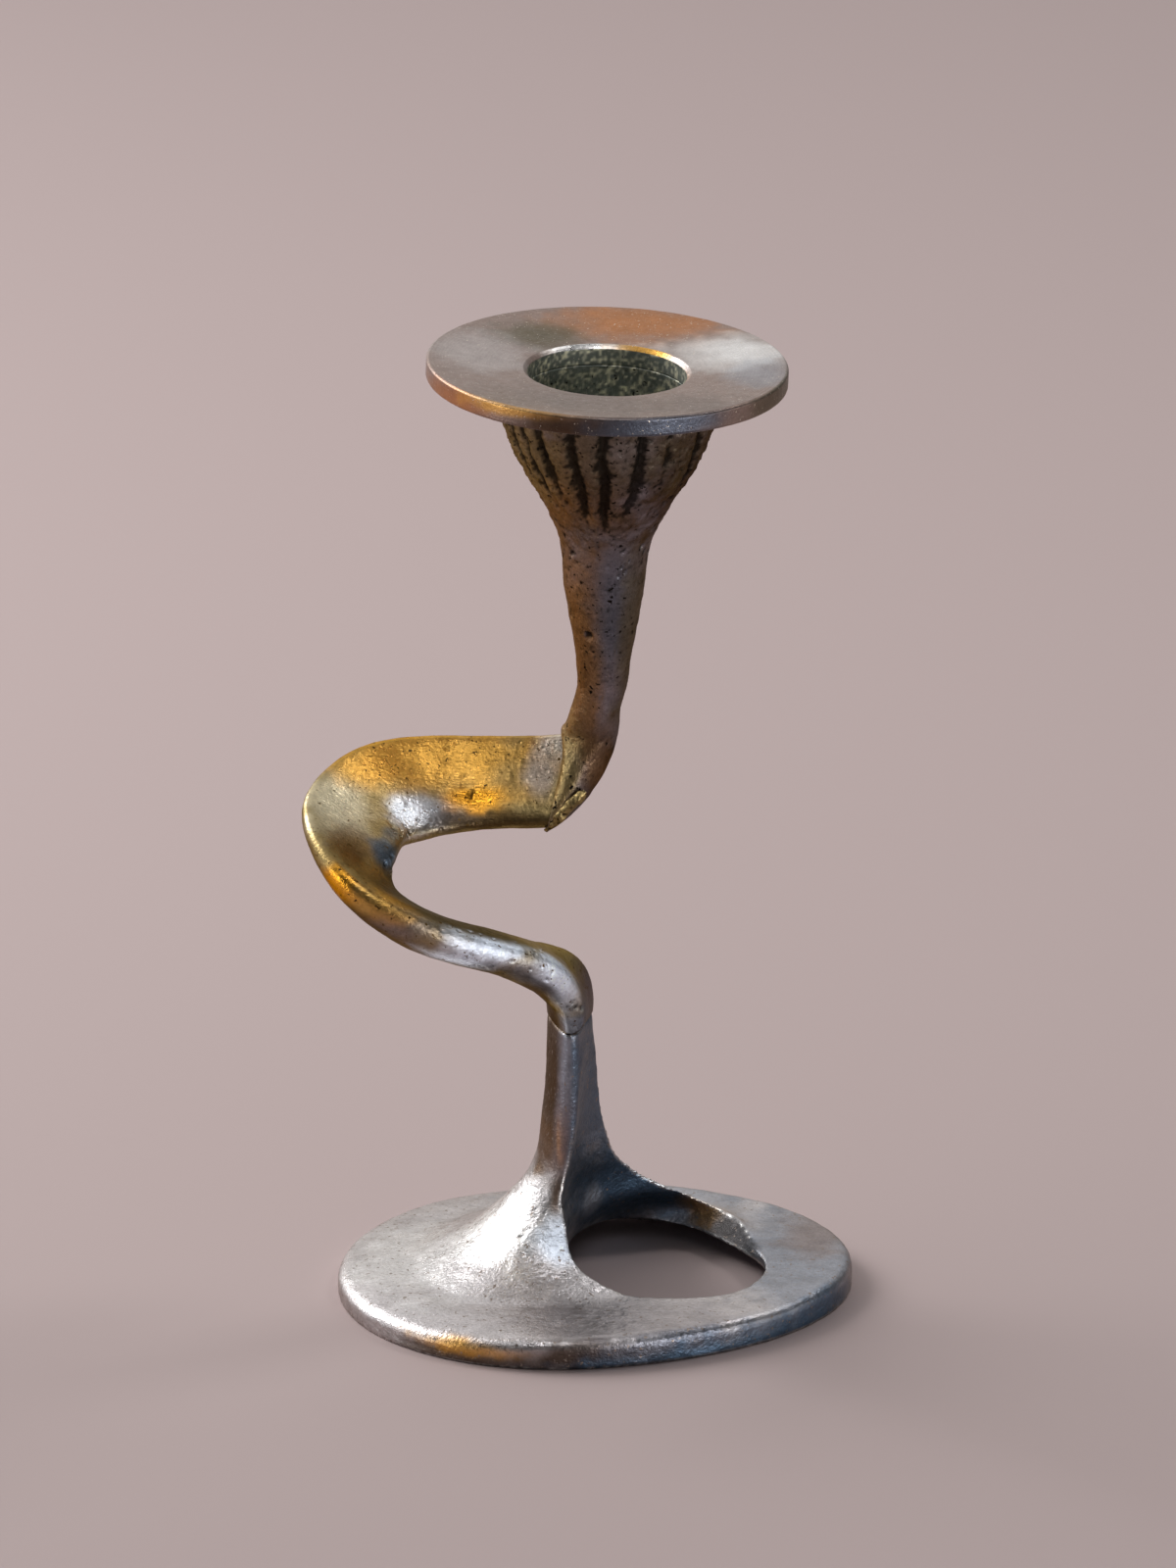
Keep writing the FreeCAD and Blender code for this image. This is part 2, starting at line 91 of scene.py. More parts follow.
def barRings(centre, along, edge, width, thick, taper=0.0, camber=0.0, power=1.0):
    # points round each centre: u and v are the cosine and sine to a power, signs kept, and
    # point = centre + edge width/2 u + side (thick/2 v (1 - taper u) + camber (u u - 1/2))
    count = len(centre)
    width, thick, taper, camber, power = (
        np.broadcast_to(value, (count,))[:, None] for value in (width, thick, taper, camber, power)
    )
    angle = 2 * np.pi * np.arange(ringCount) / ringCount
    u = np.sign(np.cos(angle)) * np.abs(np.cos(angle)) ** power
    v = np.sign(np.sin(angle)) * np.abs(np.sin(angle)) ** power
    rise = thick / 2 * v * (1 - taper * u) + camber * (u * u - 0.5)
    side = np.cross(along, edge)
    return centre[:, None] + edge[:, None] * (width / 2 * u)[..., None] + side[:, None] * rise[..., None]


def ovalReach(angle, reaches):
    # reach at an angle = 1 / root((c / reach c)² + (s / reach s)²), with c and s its cosine and sine and
    # each side's own reach
    c, s = np.cos(angle), np.sin(angle)
    reachC, reachS = np.where(c > 0, reaches[0], reaches[2]), np.where(s > 0, reaches[1], reaches[3])
    return 1 / np.hypot(c / reachC, s / reachS)


def ovalRing(height, right, rear, bearing, reaches):
    # a level ring: middle + the oval's reach at each angle from the bearing
    angle = 2 * np.pi * np.arange(ringCount) / ringCount - np.pi / 2
    reach = ovalReach(angle - np.radians(bearing), reaches)
    return np.stack([
        right + reach * np.cos(angle), rear + reach * np.sin(angle), np.full(ringCount, float(height)),
    ], axis=-1)


def cubicBetween(start, end, startSlope, endSlope, t):
    # from start to end as t runs from 0 to 1:
    # start (1 + 2t)(1 - t)² + end (3 - 2t) tt + start slope t (1 - t)² - end slope (1 - t) tt
    ends = start * (1 + 2 * t) * (1 - t) ** 2 + end * (3 - 2 * t) * t**2
    return ends + startSlope * t * (1 - t) ** 2 - endSlope * (1 - t) * t**2


def curveThrough(knots, rows, at):
    # cubic pieces through the rows: with steps h and rises d, the slopes m solve
    # h[k] m[k-1] + 2 (h[k-1] + h[k]) m[k] + h[k-1] m[k+1] = 3 (h[k] d[k-1] + h[k-1] d[k]),
    # and the end slopes are those of the cubic through the nearest four rows
    count = len(knots)
    flat = rows.reshape(count, -1)
    h = np.diff(knots)
    d = np.diff(flat, axis=0) / h[:, None]
    matrix = np.eye(count)
    right = np.zeros_like(flat)
    k = np.arange(1, count - 1)
    matrix[k, k - 1] = h[k]
    matrix[k, k] = 2 * (h[k - 1] + h[k])
    matrix[k, k + 1] = h[k - 1]
    right[k] = 3 * (h[k, None] * d[k - 1] + h[k - 1, None] * d[k])
    right[0] = np.polynomial.polynomial.polyfit(knots[:4] - knots[0], flat[:4], 3)[1]
    right[-1] = np.polynomial.polynomial.polyfit(knots[-4:] - knots[-1], flat[-4:], 3)[1]
    m = np.linalg.solve(matrix, right)
    k = np.clip(np.searchsorted(knots, at, side="right") - 1, 0, count - 2)
    t, step = ((at - knots[k]) / h[k])[:, None], h[k, None]
    curve = cubicBetween(flat[k], flat[k + 1], step * m[k], step * m[k + 1], t)
    return curve.reshape(len(at), *rows.shape[1:])


def closedThrough(rings, count):
    # a closed smooth curve through each ring's points: slopes m solve
    # m[k-1] + 4 m[k] + m[k+1] = 3 (p[k+1] - p[k-1]) all the way round, by Fourier terms
    n = rings.shape[1]
    difference = 3 * (np.roll(rings, -1, axis=1) - np.roll(rings, 1, axis=1))
    divisor = 4 + 2 * np.cos(2 * np.pi * np.arange(n) / n)
    m = np.fft.ifft(np.fft.fft(difference, axis=1) / divisor[None, :, None], axis=1).real
    at = np.arange(count) * n / count
    k = np.floor(at).astype(int)
    after = (k + 1) % n
    return cubicBetween(rings[:, k], rings[:, after], m[:, k], m[:, after], (at - k)[None, :, None])


def skinGrid(rings, alongCount, aroundCount):
    # a smooth surface through closed rings, at steps as long as the way between their middles
    middles = rings.mean(axis=1)
    way = np.linalg.norm(np.diff(middles, axis=0), axis=1)
    knots = np.concatenate([[0.0], np.cumsum(way)])
    return curveThrough(knots, closedThrough(rings, aroundCount), np.linspace(0, knots[-1], alongCount))


def noise(points, cell, seed):
    # smooth chance values from -1 to 1: a scrambled value at each corner of a lattice of cubes, blended
    # between corners by 3tt - 2ttt; the large odd numbers only scramble the corner's counts
    q = points / cell
    low = np.floor(q).astype(np.int64)
    t = q - low
    t = t * t * (3 - 2 * t)
    total = np.zeros(points.shape[:-1])
    for step in np.ndindex(2, 2, 2):
        corner = low + np.array(step)
        h = corner[..., 0] * 73856093 ^ corner[..., 1] * 19349663 ^ corner[..., 2] * 83492791
        h = ((h ^ seed * 2654435761) & 0xFFFFFFFF) * 1274126177 & 0xFFFFFFFF
        h = ((h ^ h >> 15) * 2246822519) & 0xFFFFFFFF
        value = (h ^ h >> 13) / 0xFFFFFFFF * 2 - 1
        total += value * np.prod(np.where(np.array(step) == 1, t, 1 - t), axis=-1)
    return total


def keepInside(points, node):
    # no point leaves the box of the solid that the piece stands for
    low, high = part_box(node)
    return np.clip(points, np.array(low) / millimetre, np.array(high) / millimetre)


def quadsBetween(upper, lower, columns):
    # quads between rows that close round, where point j of row k is number k columns + j
    j = np.arange(columns)
    after = (j + 1) % columns
    upper, lower = upper[:, None] * columns, lower[:, None] * columns
    return np.stack([upper + j, upper + after, lower + after, lower + j], axis=-1).reshape(-1, 4)


def closedMesh(name, points, quads, fans=()):
    # a smooth mesh, turned round where its volume, the sum of a (b x c) over triangles, is negative
    triangles = np.concatenate([quads[:, [0, 1, 2]], quads[:, [0, 2, 3]], *fans])
    a, b, c = (points[triangles[:, k]] for k in range(3))
    turn = -1 if np.sum(a * np.cross(b, c)) < 0 else 1
    faces = [face for part in (quads, *fans) for face in part[:, ::turn].tolist()]
    mesh = bpy.data.meshes.new(name)
    mesh.from_pydata((points * millimetre).tolist(), [], faces)
    mesh.validate()
    mesh.shade_smooth()
    return mesh


def meshFromGrid(name, grid):
    # quads between the rows and a fan over each end
    rows, columns = grid.shape[:2]
    row, j = np.arange(rows - 1), np.arange(columns)
    after = (j + 1) % columns
    first = np.stack([np.full(columns, rows * columns), after, j], axis=-1)
    last = (rows - 1) * columns
    last = np.stack([np.full(columns, rows * columns + 1), last + j, last + after], axis=-1)
    points = np.concatenate([grid.reshape(-1, 3), grid[:1].mean(axis=1), grid[-1:].mean(axis=1)])
    return closedMesh(name, points, quadsBetween(row, row + 1, columns), (first, last))


def meshFromRing(name, grid):
    # a ring-shaped surface: quads closed both ways, the last row being the first
    row = np.arange(len(grid) - 1)
    quads = quadsBetween(row, (row + 1) % len(row), grid.shape[1])
    return closedMesh(name, grid[:-1].reshape(-1, 3), quads)


def addPiece(name, mesh, node, material):
    piece = linked(bpy.data.objects.new(name, mesh))
    mesh.materials.append(material)
    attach(piece, "root")
    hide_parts(node)
    print(name, "made:", len(mesh.polygons), "faces")


# Materials

def addNode(tree, kind, settings=None, links=None):
    # one node with its settings, and its sockets fed from other nodes' outputs or set to values
    node = tree.nodes.new("ShaderNode" + kind)
    for word, value in (settings or {}).items():
        setattr(node, word, value)
    for socket, source in (links or {}).items():
        if isinstance(source, bpy.types.NodeSocket):
            tree.links.new(source, node.inputs[socket])
        else:
            node.inputs[socket].default_value = source
    return node


def bareTree(owner):
    # the node tree of a new material or world, emptied
    owner.use_nodes = True
    owner.node_tree.nodes.clear()
    return owner.node_tree


def surfaced(material, tree, sockets):
    shader = addNode(tree, "BsdfPrincipled", None, sockets)
    addNode(tree, "OutputMaterial", None, {"Surface": shader.outputs["BSDF"]})
    return material


# What all bronzes share: how strong the finer steps of the noise are, which part of its range is used,
# how the gloss varies with a finer mottle, and the relief's grain in sizes of the colour's
bronze = {
    "noiseRough": 0.6, "noiseLow": 0.3, "noiseHigh": 0.7, "glossRun": (-0.06, 0.08), "reliefGrain": 1.2,
}


def castBronze(name, finish):
    # cast bronze, filed and rubbed by hand: colour and roughness come with the mesh, where patina lies
    # together with painted highlights, painted reflections and painted shade; a cloudy mottle and specks
    # break up the colour, and a fine grain with file marks or tool rings breaks up the gloss.
    # The sand's grain is really about 0.2 mm and a file's marks about 0.1 mm, and both are drawn at
    # about 0.4 mm so that they show. The edge tint keeps a dark patina dark at grazing angles. Mottle
    # and grain are a size in mm and a share of the tone, specks a tone, a size and a share of the area
    material = bpy.data.materials.new(name)
    tree = bareTree(material)
    place = addNode(tree, "TexCoord").outputs["Object"]
    # the mesh's colour: patina with painted highlights, painted reflections and painted shade
    layer = addNode(tree, "Attribute", {"attribute_name": "patinaAndPaintedLight"})

    def cloud(size, detail, low, high, vector=place):
        # noise with features of that size in millimetres, brought to run from low to high
        made = addNode(tree, "TexNoise", None, {
            "Vector": vector, "Scale": 1 / (size * millimetre), "Detail": detail,
            "Roughness": bronze["noiseRough"],
        })
        return addNode(tree, "MapRange", None, {
            "Value": made.outputs["Fac"], "From Min": bronze["noiseLow"], "From Max": bronze["noiseHigh"],
            "To Min": low, "To Max": high,
        }).outputs["Result"]

    (mottleSize, mottleShare), (grainSize, grainShare) = finish["mottle"], finish["grain"]
    both = addNode(tree, "Math", {"operation": "MULTIPLY"}, {
        0: cloud(mottleSize, 4.0, 1 - mottleShare, 1 + mottleShare),
        1: cloud(grainSize, 3.0, 1 - grainShare, 1 + grainShare),
    })
    tone = addNode(tree, "VectorMath", {"operation": "SCALE"}, {
        "Vector": layer.outputs["Color"], "Scale": both.outputs[0],
    })
    speckTone, speckSize, speckShare = finish["specks"]
    colour = addNode(tree, "Mix", {"data_type": "RGBA"}, {
        0: cloud(speckSize, 2.0, -1 / speckShare, 1.0), 6: tone.outputs[0], 7: opaque(speckTone),
    })
    rough = addNode(tree, "Math", {"operation": "ADD", "use_clamp": True}, {
        0: layer.outputs["Alpha"], 1: cloud(mottleSize / 3, 3.0, *bronze["glossRun"]),
    })
    if "turnedAbout" in finish:
        # rings round the head's axis, coarser than a real tool's feed so that they show
        middle, tilt, ringWidth = finish["turnedAbout"]
        centred = addNode(tree, "VectorMath", {"operation": "SUBTRACT"}, {0: place, 1: middle})
        level = addNode(tree, "Mapping", None, {
            "Vector": centred.outputs[0], "Rotation": (0.0, -tilt, 0.0), "Scale": (1.0, 1.0, 0.0),
        })
        radius = addNode(tree, "VectorMath", {"operation": "LENGTH"}, {0: level.outputs[0]})
        marks = addNode(tree, "TexNoise", {"noise_dimensions": "1D"}, {
            "W": radius.outputs["Value"], "Scale": 1 / (ringWidth * millimetre), "Detail": 3.0,
        }).outputs["Fac"]
    else:
        # file marks, drawn out along the axis whose scale is small
        stretched = addNode(tree, "Mapping", None, {"Vector": place, "Scale": finish["drawnOut"]})
        marks = cloud(finish["markWidth"], 2.0, 0.0, 1.0, stretched.outputs["Vector"])
    height = addNode(tree, "Math", {"operation": "MULTIPLY_ADD"}, {
        0: marks, 1: finish["markShare"], 2: cloud(grainSize * bronze["reliefGrain"], 3.0, 0.0, 1.0),
    })
    relief = addNode(tree, "Bump", None, {
        "Strength": 1.0, "Distance": finish["depth"] * millimetre, "Height": height.outputs[0],
    })
    return surfaced(material, tree, {
        "Base Color": colour.outputs[2], "Metallic": 1.0, "Roughness": rough.outputs[0],
        "Normal": relief.outputs["Normal"], "Specular Tint": opaque(finish["edgeTint"]),
    })


# Each tone is a colour and its roughness, for patina and for painted highlights, painted reflections
# and painted shade
tones = {
    "gold": ("#dca54b", 0.30), "amberGlint": ("#f5ab2e", 0.24), "orangeSheen": ("#ad7243", 0.42),
    "olive": ("#a08b5e", 0.36), "paleOlive": ("#ebe0c2", 0.30), "moss": ("#635a47", 0.45),
    "tan": ("#94704a", 0.42), "umber": ("#6b5138", 0.42), "bark": ("#46321d", 0.42),
    "plum": ("#8d7a72", 0.40), "taupe": ("#75665f", 0.40), "char": ("#191614", 0.62),
    "silver": ("#e4e2e1", 0.27), "highlightFrost": ("#e8f1ff", 0.50), "pewter": ("#c4bfc0", 0.32),
    "steel": ("#c3cddb", 0.30), "lead": ("#8f95a1", 0.34), "slate": ("#80787c", 0.36),
    "slateBlue": ("#59606d", 0.36), "night": ("#4d6379", 0.42),
}

# Settings that all castings share: how patches run out, as noise sizes in mm with their shares, and how
# squarely a patch has to be faced, a faced patch painting one side lighter or darker as painted
# reflection and painted shade; the roughness and unevenness of rubbed edges, and over how many mm they
# fade at a joint; how dirt lies; how pits spread in size; and the bore's two tones, the sizes of its
# grains, the large ones' share and the range that shows
patinaAndPaintedLight = {
    "coarse": (4.0, 0.30), "fine": (1.4, 0.18), "faced": (0.05, 0.6),
    "rubbedRough": 0.22, "rubbedSize": 3.0, "rubbedShare": 0.25, "seamFade": 1.0,
    "dirtRough": 0.6, "dirtSize": 0.5, "dirtShare": 0.85, "pitSpread": (0.5, 1.3),
    "boreDark": ("#7b807a", 0.6), "boreBrass": ("#fffae0", 0.45), "boreGrains": (0.42, 1.1),
    "boreLarge": 0.5, "boreRun": (-0.3, 1.1),
}


def toneValues(hexText, rough):
    return np.array([*linearColour(hexText), rough])


def meshPoints(mesh):
    points = np.empty(len(mesh.vertices) * 3)
    mesh.vertices.foreach_get("co", points)
    normals = np.empty(len(mesh.vertices) * 3)
    mesh.vertex_normals.foreach_get("vector", normals)
    return points.reshape(-1, 3) / millimetre, normals.reshape(-1, 3)


def easeIn(value, low, high):
    # 0 up to low, 1 from high, between them 3tt - 2ttt
    t = np.clip((value - low) / (high - low), 0, 1)
    return t * t * (3 - 2 * t)


def dents(points, sizes, seed):
    # soft hollows and rises: noise of each size times its depth, in mm
    return sum(depth * noise(points, cell, seed + k) for k, (cell, depth) in enumerate(sizes))


def pits(points, zones, seed):
    # small round hollows scattered about each place: -depth (1 - dd)², d counted in pit radii
    chance = np.random.default_rng(seed)
    height = np.zeros(len(points))
    for place, reach, count, radius, depth in zones:
        near = np.flatnonzero(np.linalg.norm(points - place, axis=-1) < reach + 2 * radius)
        inside = near[np.linalg.norm(points[near] - place, axis=-1) < reach]
        for middle in points[chance.choice(inside, min(count, len(inside)), replace=False)]:
            size = radius * chance.uniform(*patinaAndPaintedLight["pitSpread"])
            d = np.linalg.norm(points[near] - middle, axis=-1) / size
            height[near] -= depth * np.clip(1 - d * d, 0, 1) ** 2
    return height


def neighbourMeans(mesh):
    # a function that gives each vertex the mean of a value over its neighbours
    ends = np.empty(len(mesh.edges) * 2, np.int64)
    mesh.edges.foreach_get("vertices", ends)
    a, b = ends.reshape(-1, 2).T
    size = len(mesh.vertices)
    to, source = np.concatenate([a, b]), np.concatenate([b, a])
    count = np.maximum(np.bincount(to, minlength=size), 1)

    def meanOf(values):
        if values.ndim > 1:
            return np.stack([meanOf(column) for column in values.T], axis=-1)
        return np.bincount(to, values[source], size) / count

    return meanOf


def prideOf(points, normals, meanOf, evened=6):
    # how sharply each place stands proud, in 1/mm: twice its height over its neighbours' mean, by
    # the square of their distance, evened out over a few steps
    mean, squares = meanOf(points), np.sum(points**2, axis=-1)
    square = meanOf(squares) - 2 * np.sum(points * mean, axis=-1) + squares
    pride = 2 * np.sum((points - mean) * normals, axis=-1) / np.maximum(square, 1e-4)
    for _ in range(evened):
        pride = (pride + meanOf(pride)) / 2
    return pride


def filleted(mesh, fillet):
    # hollow corners fill in softly: where the surface is hollow, each point moves a share of the way to
    # its neighbours' mean, over and over
    meanOf = neighbourMeans(mesh)
    points, normals = meshPoints(mesh)
    hollow = easeIn(-prideOf(points, normals, meanOf, fillet["evened"]), *fillet["hollow"])
    for _ in range(fillet["spread"]):
        hollow = np.maximum(hollow, meanOf(hollow))
    hollow = (hollow * (points[:, 2] > fillet["above"]) * fillet["share"])[:, None]
    for _ in range(fillet["times"]):
        points += (meanOf(points) - points) * hollow
    mesh.vertices.foreach_set("co", (points * millimetre).ravel())
    mesh.update()


def paint(points, normals, ground, patches, seed):
    # from the ground tone, each patch draws the surface to its own tone by strength exp(-dddd), d being
    # the distance in reaches stirred by noise; a patch with a direction counts only where it is faced. The
    # patches lay patina and also painted highlights, painted reflections and painted shade, the faced ones
    # making one side of a part lighter or darker
    painted = np.tile(toneValues(*tones[ground]), (len(points), 1))
    stir = 1 + sum(
        share * noise(points, size, seed + k)
        for k, (size, share) in enumerate((patinaAndPaintedLight["coarse"], patinaAndPaintedLight["fine"]))
    )
    for tone, strength, place, reach, *faced in patches:
        d = np.linalg.norm((points - place) / np.array(reach), axis=-1) * stir
        weight = strength * np.exp(-d**4)
        if faced:
            weight *= easeIn(normals @ unit(np.array(faced[0], float)), *patinaAndPaintedLight["faced"])
        painted += (toneValues(*tones[tone]) - painted) * weight[:, None]
    return painted


def boreTones(points):
    # inside the candle's bore: a rough casting skin, grey-green with brassy grains
    small, large = patinaAndPaintedLight["boreGrains"]
    grains = noise(points, small, 91) + patinaAndPaintedLight["boreLarge"] * noise(points, large, 92)
    grains = easeIn(grains, *patinaAndPaintedLight["boreRun"])[:, None]
    dark, brass = toneValues(*patinaAndPaintedLight["boreDark"]), toneValues(*patinaAndPaintedLight["boreBrass"])
    return dark + (brass - dark) * grains


# What a look says unless it has its own: how far the relief is sunk, how the dirt is stirred, how
# strongly edges are rubbed, and the joints that aren't
usualLook = {"settle": 0.05, "stir": 0.05, "rubStrength": 0.8, "seams": ()}


def finishCasting(mesh, node, look, addedRelief=None, looseness=None, wear=None, inside=None):
    # relief along the normals, then the colour: patches of patina, painted highlights, painted reflections
    # and painted shade, rubbed metal where the shape stands proud, dirt where the relief is low. Functions
    # of the points add relief, say what share of it holds and how far heights shrink, and find what lies
    # inside the bore
    look = {**usualLook, **look}
    seed = look["seed"]
    points, normals = meshPoints(mesh)
    relief = dents(points, look["dents"], seed) + pits(points, look["pits"], seed)
    if addedRelief:
        relief += addedRelief(points)
    relief -= look["settle"]
    if looseness:
        relief *= looseness(points, normals)
    moved = points + normals * relief[:, None]
    if wear:
        moved[:, 2] *= wear(points)
    moved = keepInside(moved, node)
    mesh.vertices.foreach_set("co", (moved * millimetre).ravel())
    mesh.update()
    moved, normals = meshPoints(mesh)
    painted = paint(moved, normals, look["ground"], look["patches"], seed)
    edge = easeIn(prideOf(points, normals, neighbourMeans(mesh)), *look["rubbed"]) * look["rubStrength"]
    share = patinaAndPaintedLight["rubbedShare"]
    edge *= 1 - share + share * noise(moved, patinaAndPaintedLight["rubbedSize"], seed + 7)
    for place, reach in look["seams"]:
        edge *= easeIn(np.linalg.norm(moved - place, axis=-1), reach - patinaAndPaintedLight["seamFade"], reach)
    painted += (toneValues(tones["silver"][0], patinaAndPaintedLight["rubbedRough"]) - painted) * edge[:, None]
    if inside:
        inner = inside(points)
        painted[inner] = boreTones(moved[inner])
    low = -relief + look["stir"] * noise(moved, patinaAndPaintedLight["dirtSize"], seed + 8)
    low = easeIn(low, *look["dirt"])[:, None] * patinaAndPaintedLight["dirtShare"]
    painted += (toneValues(tones["char"][0], patinaAndPaintedLight["dirtRough"]) - painted) * low
    # the colour goes into the mesh: patina with painted highlights, painted reflections and painted shade
    layer = mesh.color_attributes.new("patinaAndPaintedLight", "FLOAT_COLOR", "POINT")
    layer.data.foreach_set("color", painted.ravel())


# Spiral arm: a cast ribbon from the post's top through elbow and loop to the knee

arm = {
    "reach": 38.0, "depth": 26.0, "joint": 42.5, "top": 76.0, "width": 15.4, "thick": 5.6,
    # the post's place at the joint, its size, then thinning to the front, hollow and squareness
    "post": (-3.6, 1.8, 42.5), "postDepth": 12.6, "postThick": 5.6, "postShares": (0.5, 0.02, 0.6),
    # right, rear and up as shares, bearing and lift of the outer edge, then shares for width,
    # thickness, thinning, hollow and squareness
    "rows": (
        (-0.112, -0.010, 0.155, -90, 0, 0.82, 1.15, 0.28, 0.03, 0.62),
        (-0.215, -0.160, 0.300, -70, 2, 0.82, 1.16, 0.10, 0.02, 0.72),
        (-0.370, -0.330, 0.425, -66, 6, 0.82, 1.12, 0.02, 0.02, 0.78),
        (-0.560, -0.460, 0.523, -76, 10, 0.82, 1.14, 0.02, 0.03, 0.80),
        (-0.755, -0.500, 0.640, -96, 15, 0.86, 1.12, 0.04, 0.05, 0.80),
        (-0.895, -0.420, 0.762, -128, 22, 0.94, 1.02, 0.08, 0.07, 0.80),
        (-0.955, -0.200, 0.875, -168, 28, 1.00, 0.94, 0.12, 0.08, 0.80),
        (-0.920, 0.110, 0.943, -202, 35, 1.06, 0.88, 0.16, 0.09, 0.80),
        (-0.815, 0.340, 0.966, -232, 43, 1.10, 0.86, 0.18, 0.10, 0.80),
        (-0.640, 0.470, 0.976, -256, 49, 1.03, 0.84, 0.18, 0.10, 0.80),
        (-0.410, 0.510, 0.982, -270, 52, 0.94, 0.82, 0.16, 0.09, 0.80),
        (-0.137, 0.481, 1.000, -276, 52, 0.94, 0.86, 0.12, 0.07, 0.80),
        (0.020, 0.455, 1.025, -280, 50, 0.94, 0.88, 0.10, 0.05, 0.80),
    ),
    # the joint with the stem: which row it lies on, then tip and bearing of its plane
    "knee": (-2, 100.5, -7.6),
    "alongCount": 400, "aroundCount": 128, "fineCount": 1600,
}
armRows = np.array(arm["rows"])
armCentres = np.stack([
    arm["reach"] * armRows[:, 0], arm["depth"] * armRows[:, 1],
    arm["joint"] + (arm["top"] - arm["joint"]) * armRows[:, 2],
], axis=-1)
kneePlace = armCentres[arm["knee"][0]]
kneeNormal = tipped(*arm["knee"][1:])


def postRings(heights):
    # the post's wedge, level, at each height: narrow at the front and broad at the rear
    count = len(heights)
    centres = np.tile(np.array(arm["post"]), (count, 1))
    centres[:, 2] = heights
    along = np.tile([0.0, 0.0, 1.0], (count, 1))
    edge = np.tile([0.0, -1.0, 0.0], (count, 1))
    depth, (taper, camber, power) = arm["postDepth"], arm["postShares"]
    return barRings(centres, along, edge, depth, arm["postThick"], taper, camber * depth, power)


def armGrid():
    # a fine skin through the post's top and the ribbon's rings; each line along it then ends where it
    # meets the knee's plane, and its points are spread evenly by share of the way there
    bearing, lift, width, thick, taper, camber, power = armRows[:, 3:].T
    along = pathDirections(np.concatenate([[arm["post"]], armCentres]))[1:]
    rings = barRings(
        armCentres, along, edgeDirection(along, bearing, lift), arm["width"] * width,
        arm["thick"] * thick, taper, arm["width"] * camber, power,
    )
    rings = np.concatenate([postRings([arm["joint"]]), rings])
    grid = skinGrid(rings, arm["fineCount"], arm["aroundCount"])
    beyond = (grid - kneePlace) @ kneeNormal > 0
    beyond[:arm["fineCount"] * 7 // 8] = False  # the loop's own start lies beyond that plane too
    ends = np.argmax(beyond, axis=0)
    at = np.linspace(0, 1, arm["alongCount"])[:, None] * ends[None, :]
    low = np.minimum(np.floor(at).astype(int), len(grid) - 2)
    part = (at - low)[..., None]
    column = np.arange(arm["aroundCount"])[None, :]
    return grid[low, column] * (1 - part) + grid[low + 1, column] * part


